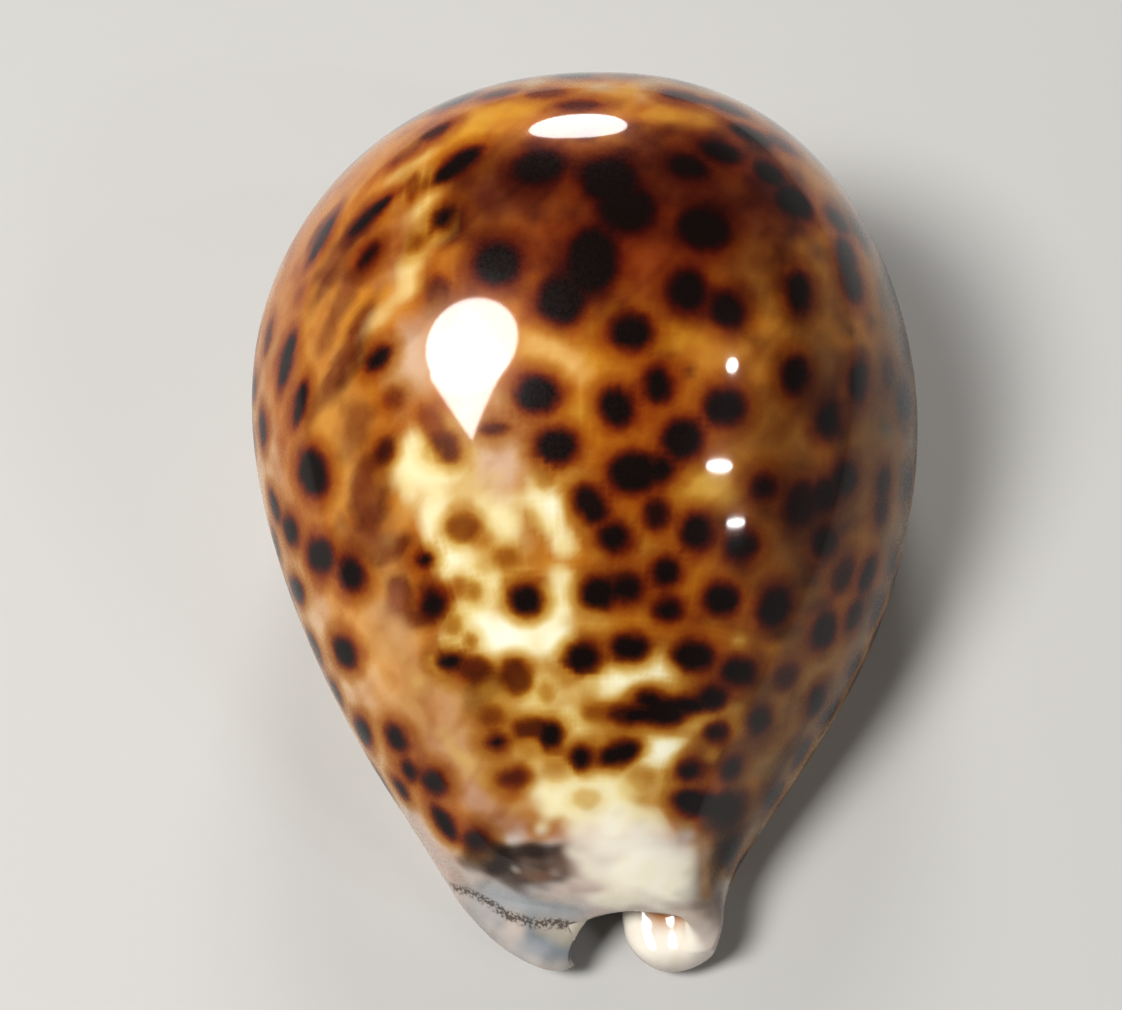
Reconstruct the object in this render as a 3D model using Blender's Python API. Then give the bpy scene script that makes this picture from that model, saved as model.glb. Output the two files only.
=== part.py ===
"""A tiger cowrie shell, resting on its toothed base.

The shell is one grown piece: a wall that rolls over into two toothed lips, with a slit between
them that runs the whole length and leaves through a canal at each end. Its wall is worked out as
two sheets, an outer and an inner one. Each is a grid of stations along the shell by columns round
it, and they share their edges at the lips and at the rims of the canals.

Metres, +Z up. The front canal points to -Y, the outer lip is on the -X side, and the origin is
at the middle of the base, on the floor that the shell stands on.
"""

import bpy
import bmesh
import numpy as np

MM = 0.001

# Driving dimensions.
LENGTH = 87.3 * MM
TRIANGLES = 9600
STATION_COUNT = 220
ARC_COLUMNS = 90
LIP_COLUMNS = 12
JOIN_DISTANCE = 0.001 * MM
SOLE_TOLERANCE = 0.05 * MM

# Cross-sections in mm, at even steps of the station from the front canal (0) to the back (1).
# A girth is the height at which a side is widest. Left is the outer lip's side, -X.
OUTSIDE = {
    "centre": (3.4, 1.6, -0.2, -0.4, 1.7, 3.6),
    "left": (9.0, 15.4, 26.4, 31.6, 22.6, 7.6),
    "right": (11.7, 13.4, 28.0, 33.2, 22.6, 8.4),
    "bottom": (1.0, 0.2, -0.5, -0.5, 0.6, 2.6),
    "left_girth": (5.8, 9.6, 16.2, 19.4, 16.2, 8.6),
    "right_girth": (5.4, 7.0, 11.6, 14.4, 12.4, 8.0),
    "top": (10.8, 19.2, 36.0, 48.0, 40.6, 14.0),
}
HOLLOW = {
    "centre": (5.2, 2.6, 0.0, -0.4, 1.9, 4.6),
    "left": (4.9, 10.6, 22.6, 28.2, 18.8, 5.6),
    "right": (6.2, 8.6, 24.0, 29.6, 19.2, 5.0),
    "bottom": (4.4, 6.0, 6.0, 6.0, 6.4, 5.8),
    "left_girth": (6.0, 10.2, 17.0, 20.0, 16.5, 8.6),
    "right_girth": (5.8, 8.6, 13.0, 15.4, 13.4, 8.4),
    "top": (8.2, 16.4, 33.2, 45.3, 37.8, 10.8),
}
TOP_FULLNESS = 2.15
BOTTOM_FULLNESS = 2.7

# The slit between the lips, in mm at the same stations.
SLIT_CENTRE = (3.0, 0.4, -1.6, -1.6, 0.6, 4.2)
SLIT_HALF_WIDTH = (1.9, 3.2, 3.2, 3.0, 2.6, 2.2)

# The lips, the fold inside the inner lip and the rims of the canals.
LIP_ROUNDING = 3.2 * MM
LIP_FULLNESS = 0.58
FOLD_RISE = 7.0 * MM
RIM_ROUNDING = 1.6 * MM

# The lobes beside the slit at each end, and the notch that the arch over it is set back by.
LOBE_CENTRE = 6.0 * MM
LOBE_CORNER = 3.8 * MM
CORNER_SET_BACK = 3.0 * MM
CORNER_REACH = 3.5 * MM
RIGHT_LOBE_SET_BACK = 0.6 * MM
SHOULDER_SET_BACK = 3.0 * MM
NOTCH_HEIGHTS = (3.0 * MM, 9.0 * MM)
FRONT_NOTCH = 4.4 * MM
BACK_NOTCH = 4.5 * MM
NOTCH_REACH = 9.0 * MM

# The teeth are what stands between grooves across both lips. They fade towards the canals.
TOOTH_PITCH = 3.0 * MM
GROOVE_DEPTH = 0.65 * MM
LEFT_TEETH = (5.5 * MM, 9.5 * MM)
RIGHT_TEETH = (3.0 * MM, 6.5 * MM)
INNER_TEETH = (2.5 * MM, 4.5 * MM)
TOOTH_FADE = (5.0 * MM, 11.0 * MM)

# The low knob that is left of the spire.
SPIRE = (5.0 * MM, 38.0 * MM, 23.0 * MM)
SPIRE_HEIGHT = 0.9 * MM
SPIRE_SPREAD = 4.0 * MM

SHELL_COLOUR = (0.55, 0.33, 0.13, 1.0)
SHELL_ROUGHNESS = 0.2


def smooth_step(value, start, end):
    """Rises from 0 at start to 1 at end along t * t * (3 - 2 t)."""
    t = np.clip((value - start) / (end - start), 0.0, 1.0)
    return t * t * (3.0 - 2.0 * t)


def profile(values, station):
    """The natural cubic spline through values in mm, which stand at even steps of the station."""
    values = np.asarray(values) * MM
    last = len(values) - 1
    system = np.eye(last + 1)
    bends = np.zeros(last + 1)
    for row in range(1, last):
        system[row, row - 1 : row + 2] = 1.0, 4.0, 1.0
        bends[row] = 6.0 * (values[row - 1] - 2.0 * values[row] + values[row + 1])
    moments = np.linalg.solve(system, bends)
    place = station * last
    left = np.clip(place.astype(int), 0, last - 1)
    b = place - left
    a = 1.0 - b
    curve = (a**3 - a) * moments[left] + (b**3 - b) * moments[left + 1]
    return a * values[left] + b * values[left + 1] + curve / 6.0


def section(sizes, station, angle):
    """One cross-section's polar radius at each angle, and the x and z that it turns round.

    The angle runs from 0 straight down, through the left side at a quarter turn and the top at a
    half turn. The radius is (|sin / width| ** n + |cos / height| ** n) ** (-1 / n), in which the
    width, the height and n change smoothly from side to side and from bottom to top.
    """
    size = {name: profile(values, station) for name, values in sizes.items()}
    sine = np.sin(angle)
    cosine = np.cos(angle)
    right = smooth_step(-sine, -0.5, 0.5)
    upper = smooth_step(-cosine, -0.6, 0.6)
    width = size["left"] * (1.0 - right) + size["right"] * right
    girth = size["left_girth"] * (1.0 - right) + size["right_girth"] * right
    height = (girth - size["bottom"]) * (1.0 - upper) + (size["top"] - girth) * upper
    fullness = BOTTOM_FULLNESS * (1.0 - upper) + TOP_FULLNESS * upper
    radius = (np.abs(sine / width) ** fullness + np.abs(cosine / height) ** fullness) ** (-1.0 / fullness)
    return radius, size["centre"], girth


def lip_angles(sizes, station):
    """The angles at which a section's bottom stops at the left lip and at the right lip.

    Each is where the section comes within a lip's rounding of the slit, found by repeating
    angle = arctan(sideways distance / height below the girth).
    """
    edge = profile(SLIT_HALF_WIDTH, station) + LIP_ROUNDING
    centre = profile(sizes["centre"], station) - profile(SLIT_CENTRE, station)
    left_reach = np.clip(centre + edge, 0.0, 0.97 * profile(sizes["left"], station))
    right_reach = np.clip(edge - centre, 0.0, 0.97 * profile(sizes["right"], station))
    left = np.full_like(station, 0.5)
    right = np.full_like(station, 0.5)
    for _ in range(30):
        left = np.arctan2(left_reach, section(sizes, station, left)[0] * np.cos(left))
        right = np.arctan2(right_reach, section(sizes, station, -right)[0] * np.cos(right))
    return left, 2.0 * np.pi - right


def arc(sizes, station, y, columns, fold):
    """A sheet's part between the lips, as points. fold is how far it rises at the right lip."""
    left_lip, right_lip = lip_angles(sizes, station)
    angle = left_lip + (right_lip - left_lip) * np.linspace(0.0, 1.0, columns)[None, :]
    radius, centre, girth = section(sizes, station, angle)
    middle = smooth_step(station, 0.12, 0.3) * (1.0 - smooth_step(station, 0.72, 0.9))
    radius = radius - fold * middle * smooth_step(angle, right_lip - 0.45, right_lip - 0.12)
    x = centre - radius * np.sin(angle)
    z = girth - radius * np.cos(angle)
    return np.stack([x, np.broadcast_to(y, x.shape), z], axis=-1)


def quarter_circle(distance, radius):
    """Rises from 0 to 1 over the radius along a quarter of a circle."""
    return np.sqrt(1.0 - np.clip(1.0 - distance / radius, 0.0, 1.0) ** 2)


def close_rims(outer, inner, to_end):
    """Both sheets close in at the ends, along quarters of circles, on a line inside the wall."""
    wall = outer - inner
    thickness = np.linalg.norm(wall, axis=-1, keepdims=True)
    inner_rounding = np.minimum(0.5 * thickness, RIM_ROUNDING)
    outer_rounding = thickness - inner_rounding
    rim = inner + wall * inner_rounding / thickness
    to_end = to_end[..., None]
    outer = rim + (outer - rim) * quarter_circle(to_end, outer_rounding)
    inner = rim + (inner - rim) * quarter_circle(to_end, inner_rounding)
    return outer, inner


def half_lip(sheet, other, column, edge, along, closing):
    """Half of a lip on one sheet: a cubic Bezier curve from the tip, at x = edge, to its arc.

    It leaves the tip straight up or down and meets the arc along the arc's own end.
    """
    end = sheet[:, column, None]
    beside = sheet[:, 1 if column == 0 else -2, None]
    tip = 0.5 * (end + other[:, column, None])
    tip[..., 0] += (edge - tip[..., 0]) * closing
    leaving = (end - beside) / np.maximum(np.linalg.norm(end - beside, axis=-1, keepdims=True), 1e-9)
    reach = np.abs(end[..., 0:1] - tip[..., 0:1])
    rise = (end - tip) * (0.0, 0.0, 1.0)
    weights = ((1 - along) ** 3, 3 * along * (1 - along) ** 2, 3 * along**2 * (1 - along), along**3)
    handles = (tip, tip + LIP_FULLNESS * rise, end + LIP_FULLNESS * reach * leaving, end)
    return sum(weight[None, :, None] * handle for weight, handle in zip(weights, handles))


def with_lips(sheet, other, station, to_end, lip_columns):
    """A sheet's arc with its half of each lip. The lips draw in at the ends of the shell."""
    slit = profile(SLIT_CENTRE, station)
    half = profile(SLIT_HALF_WIDTH, station)
    along = np.linspace(0.0, 1.0, lip_columns + 1)[:-1]
    closing = quarter_circle(to_end, LIP_ROUNDING)
    left = half_lip(sheet, other, 0, slit - half, along, closing)
    right = half_lip(sheet, other, -1, slit + half, along, closing)
    return np.concatenate([left, sheet, right[:, ::-1]], axis=1)


def set_back(points, station, notch, from_end):
    """How far points near one end stand back from it. Each lobe is round seen from above."""
    aside = points[..., 0] - profile(SLIT_CENTRE, station)
    height = points[..., 2] - profile(OUTSIDE["bottom"], station)
    arch = smooth_step(height, *NOTCH_HEIGHTS)
    inside = np.clip((LOBE_CENTRE - np.abs(aside)) / LOBE_CORNER, 0.0, 1.0)
    corner = CORNER_SET_BACK * (1.0 - np.sqrt(1.0 - inside**2)) * np.exp(-from_end / CORNER_REACH)
    shoulder = RIGHT_LOBE_SET_BACK * smooth_step(aside, -LOBE_CENTRE, LOBE_CENTRE)
    shoulder = shoulder + SHOULDER_SET_BACK * smooth_step(aside, LOBE_CENTRE, 2.4 * LOBE_CENTRE)
    reach = np.exp(-from_end / NOTCH_REACH)
    return corner * (1.0 - arch) + np.maximum(shoulder, notch * arch) * reach


def sheets(station_count, arc_columns, lip_columns):
    """The outer and the inner sheet, each of stations by columns by 3, in metres.

    Columns run from the tip of the left lip round the left side, the top and the right side to
    the tip of the right lip. Both sheets meet along these two tips and along both rims.
    """
    station = np.linspace(0.0, 1.0, station_count)[:, None]
    y = -0.5 * LENGTH * np.cos(np.pi * station)
    from_front = y + 0.5 * LENGTH
    from_back = 0.5 * LENGTH - y
    to_end = np.minimum(from_front, from_back)
    outer = arc(OUTSIDE, station, y, arc_columns, 0.0)
    inner = arc(HOLLOW, station, y, arc_columns, FOLD_RISE)
    outer, inner = close_rims(outer, inner, to_end)
    outer, inner = (
        with_lips(outer, inner, station, to_end, lip_columns),
        with_lips(inner, outer, station, to_end, lip_columns),
    )
    for sheet in (outer, inner):
        front = set_back(sheet, station, FRONT_NOTCH, from_front)
        back = set_back(sheet, station, BACK_NOTCH, from_back)
        sheet[..., 1] += front - back
    return outer, inner


def inward(sheet):
    """Unit normals of a sheet, out of its steps along and across. The outer sheet's point in."""
    normal = np.cross(np.gradient(sheet, axis=0), np.gradient(sheet, axis=1))
    return normal / np.maximum(np.linalg.norm(normal, axis=-1, keepdims=True), 1e-12)


def grooves(sheet, to_end, left_reach, right_reach):
    """How deep the grooves between the teeth are. They fade out over the reach from each lip's tip."""
    steps = np.linalg.norm(np.diff(sheet, axis=1), axis=-1)
    travel = np.concatenate([np.zeros((len(sheet), 1)), np.cumsum(steps, axis=1)], axis=1)
    left = 1.0 - smooth_step(travel, *left_reach)
    right = 1.0 - smooth_step(travel[:, -1:] - travel, *right_reach)
    turn = 2.0 * np.pi * sheet[..., 1] / TOOTH_PITCH
    wave = left * (0.5 + 0.5 * np.cos(turn)) ** 1.5 + right * (0.5 - 0.5 * np.cos(turn)) ** 1.5
    return GROOVE_DEPTH * wave * smooth_step(to_end, *TOOTH_FADE)


def spire_knob(sheet, to_end):
    """A bell-shaped rise round the spire, which leaves the rims where they are."""
    distance = np.linalg.norm(sheet - np.array(SPIRE), axis=-1)
    bell = np.exp(-0.5 * (distance / SPIRE_SPREAD) ** 2)
    return SPIRE_HEIGHT * bell * smooth_step(to_end, 0.0, RIM_ROUNDING)


def finished_sheets(station_count, arc_columns, lip_columns):
    """The sheets with their teeth and the spire's knob, flat where they stand, and centred."""
    outer, inner = sheets(station_count, arc_columns, lip_columns)
    y = -0.5 * LENGTH * np.cos(np.pi * np.linspace(0.0, 1.0, station_count))[:, None]
    to_end = 0.5 * LENGTH - np.abs(y)
    sink = grooves(outer, to_end, LEFT_TEETH, RIGHT_TEETH) - spire_knob(outer, to_end)
    outer = outer + inward(outer) * sink[..., None]
    inner = inner - inward(inner) * grooves(inner, to_end, INNER_TEETH, INNER_TEETH)[..., None]
    tips = 0.5 * (outer[:, [0, -1]] + inner[:, [0, -1]])
    outer[:, [0, -1]] = tips
    inner[:, [0, -1]] = tips
    outer[..., 2] = np.maximum(outer[..., 2], 0.0)
    inner[..., 2] = np.maximum(inner[..., 2], 0.0)
    middle = 0.5 * (outer.min(axis=(0, 1)) + outer.max(axis=(0, 1))) * (1.0, 1.0, 0.0)
    return outer - middle, inner - middle


def shell_mesh(outer, inner):
    """One closed mesh out of the two sheets, which are joined along their shared edges."""
    stations, columns = outer.shape[:2]
    points = np.concatenate([outer.reshape(-1, 3), inner.reshape(-1, 3)])
    grid = np.arange(stations * columns).reshape(stations, columns)
    corners = (grid[:-1, :-1], grid[:-1, 1:], grid[1:, 1:], grid[1:, :-1])
    quads = np.stack(corners, axis=-1).reshape(-1, 4)
    faces = np.concatenate([quads[:, ::-1], quads + stations * columns])
    mesh = bpy.data.meshes.new("shell")
    mesh.from_pydata(points.tolist(), [], faces.tolist())
    work = bmesh.new()
    work.from_mesh(mesh)
    bmesh.ops.remove_doubles(work, verts=work.verts, dist=JOIN_DISTANCE)
    bmesh.ops.recalc_face_normals(work, faces=work.faces)
    work.to_mesh(mesh)
    work.free()
    mesh.shade_smooth()
    return mesh


def shell_material():
    material = bpy.data.materials.new("shell")
    material.use_nodes = True
    surface = material.node_tree.nodes["Principled BSDF"]
    surface.inputs["Base Color"].default_value = SHELL_COLOUR
    surface.inputs["Roughness"].default_value = SHELL_ROUGHNESS
    surface.inputs["Metallic"].default_value = 0.0
    return material


def thin_out(shell):
    """Spends the triangles where the surface bends most, then sets the sole flat again."""
    shell.data.calc_loop_triangles()
    thinning = shell.modifiers.new("thinning", "DECIMATE")
    thinning.ratio = TRIANGLES / len(shell.data.loop_triangles)
    graph = bpy.context.evaluated_depsgraph_get()
    mesh = bpy.data.meshes.new_from_object(shell.evaluated_get(graph))
    shell.modifiers.clear()
    shell.data = mesh
    for vertex in mesh.vertices:
        if vertex.co.z < SOLE_TOLERANCE:
            vertex.co.z = 0.0


def main():
    """Clears the scene and makes the shell."""
    for old in list(bpy.data.objects):
        bpy.data.objects.remove(old)
    mesh = shell_mesh(*finished_sheets(STATION_COUNT, ARC_COLUMNS, LIP_COLUMNS))
    mesh.materials.append(shell_material())
    shell = bpy.data.objects.new("shell", mesh)
    bpy.context.scene.collection.objects.link(shell)
    thin_out(shell)


if __name__ == "__main__":
    main()
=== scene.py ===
"""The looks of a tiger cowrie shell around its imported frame.

The shell is one closed piece: the two sheets of its wall, worked out as the solid's are but on a
finer grid, and fitted to the solid's box. Every mark on it is a field over the outer sheet, such
as the distance to the nearest spot's edge, and the material turns these fields into colours.

Metres, +Z up. The front canal points to -Y, and left is -X, the side of the outer lip. A place on
the shell is given as (along, turn): millimetres along Y from the middle, and degrees round from
the top of the section, negative to the left.
"""

import bpy
import numpy as np
from mathutils import Matrix, Vector


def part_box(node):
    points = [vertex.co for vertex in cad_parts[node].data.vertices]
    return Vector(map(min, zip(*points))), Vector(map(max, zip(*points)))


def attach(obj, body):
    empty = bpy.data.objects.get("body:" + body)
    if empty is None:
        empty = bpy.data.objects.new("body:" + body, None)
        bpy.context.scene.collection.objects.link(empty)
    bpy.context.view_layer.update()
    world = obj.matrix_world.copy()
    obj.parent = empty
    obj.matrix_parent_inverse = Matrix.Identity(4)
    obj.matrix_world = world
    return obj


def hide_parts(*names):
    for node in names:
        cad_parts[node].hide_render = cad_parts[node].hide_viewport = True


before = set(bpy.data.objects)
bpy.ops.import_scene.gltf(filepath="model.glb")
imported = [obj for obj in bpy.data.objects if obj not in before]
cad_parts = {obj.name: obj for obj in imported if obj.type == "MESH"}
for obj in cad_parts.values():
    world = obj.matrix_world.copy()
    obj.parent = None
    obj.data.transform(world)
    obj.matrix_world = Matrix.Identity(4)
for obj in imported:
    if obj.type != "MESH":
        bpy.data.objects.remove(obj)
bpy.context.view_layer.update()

MM = 0.001

# The grid. The inner sheet has every second column of it, so the wall closes on shared points.
STATION_COUNT = 272
ARC_COLUMNS = 193
LIP_COLUMNS = 24

# The shell's shape, as in its solid.
LENGTH = 87.3 * MM
OUTSIDE = {
    "centre": (3.4, 1.6, -0.2, -0.4, 1.7, 3.6),
    "left": (9.0, 15.4, 26.4, 31.6, 22.6, 7.6),
    "right": (11.7, 13.4, 28.0, 33.2, 22.6, 8.4),
    "bottom": (1.0, 0.2, -0.5, -0.5, 0.6, 2.6),
    "left_girth": (5.8, 9.6, 16.2, 19.4, 16.2, 8.6),
    "right_girth": (5.4, 7.0, 11.6, 14.4, 12.4, 8.0),
    "top": (10.8, 19.2, 36.0, 48.0, 40.6, 14.0),
}
HOLLOW = {
    "centre": (5.2, 2.6, 0.0, -0.4, 1.9, 4.6),
    "left": (4.9, 10.6, 22.6, 28.2, 18.8, 5.6),
    "right": (6.2, 8.6, 24.0, 29.6, 19.2, 5.0),
    "bottom": (4.4, 6.0, 6.0, 6.0, 6.4, 5.8),
    "left_girth": (6.0, 10.2, 17.0, 20.0, 16.5, 8.6),
    "right_girth": (5.8, 8.6, 13.0, 15.4, 13.4, 8.4),
    "top": (8.2, 16.4, 33.2, 45.3, 37.8, 10.8),
}
TOP_FULLNESS = 2.15
BOTTOM_FULLNESS = 2.7
SIDE_BLEND = 0.5
HEIGHT_BLEND = 0.6
SLIT_CENTRE = (3.0, 0.4, -1.6, -1.6, 0.6, 4.2)
SLIT_HALF_WIDTH = (1.9, 3.2, 3.2, 3.0, 2.6, 2.2)
LIP_ROUNDING = 3.2 * MM
LIP_FULLNESS = 0.58
MOST_LIP_REACH = 0.97
LIP_REPEATS = 30
FOLD_RISE = 7.0 * MM
FOLD_STARTS = (0.12, 0.3)
FOLD_ENDS = (0.72, 0.9)
FOLD_ANGLES = (0.45, 0.12)
RIM_ROUNDING = 1.6 * MM
LOBE_CENTRE = 6.0 * MM
LOBE_CORNER = 3.8 * MM
CORNER_SET_BACK = 3.0 * MM
CORNER_REACH = 3.5 * MM
RIGHT_LOBE_SET_BACK = 0.6 * MM
SHOULDER_SET_BACK = 3.0 * MM
SHOULDER_END = 2.4 * LOBE_CENTRE
NOTCH_HEIGHTS = (3.0 * MM, 9.0 * MM)
FRONT_NOTCH = 4.4 * MM
BACK_NOTCH = 4.5 * MM
NOTCH_REACH = 9.0 * MM
TOOTH_PITCH = 3.0 * MM
GROOVE_DEPTH = 0.65 * MM
GROOVE_SHARPNESS = 1.5
LEFT_TEETH = (5.5 * MM, 9.5 * MM)
RIGHT_TEETH = (3.0 * MM, 6.5 * MM)
INNER_TEETH = (2.5 * MM, 4.5 * MM)
TOOTH_FADE = (5.0 * MM, 11.0 * MM)
SPIRE = (5.0 * MM, 38.0 * MM, 23.0 * MM)
SPIRE_HEIGHT = 0.9 * MM
SPIRE_SPREAD = 4.0 * MM

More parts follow.
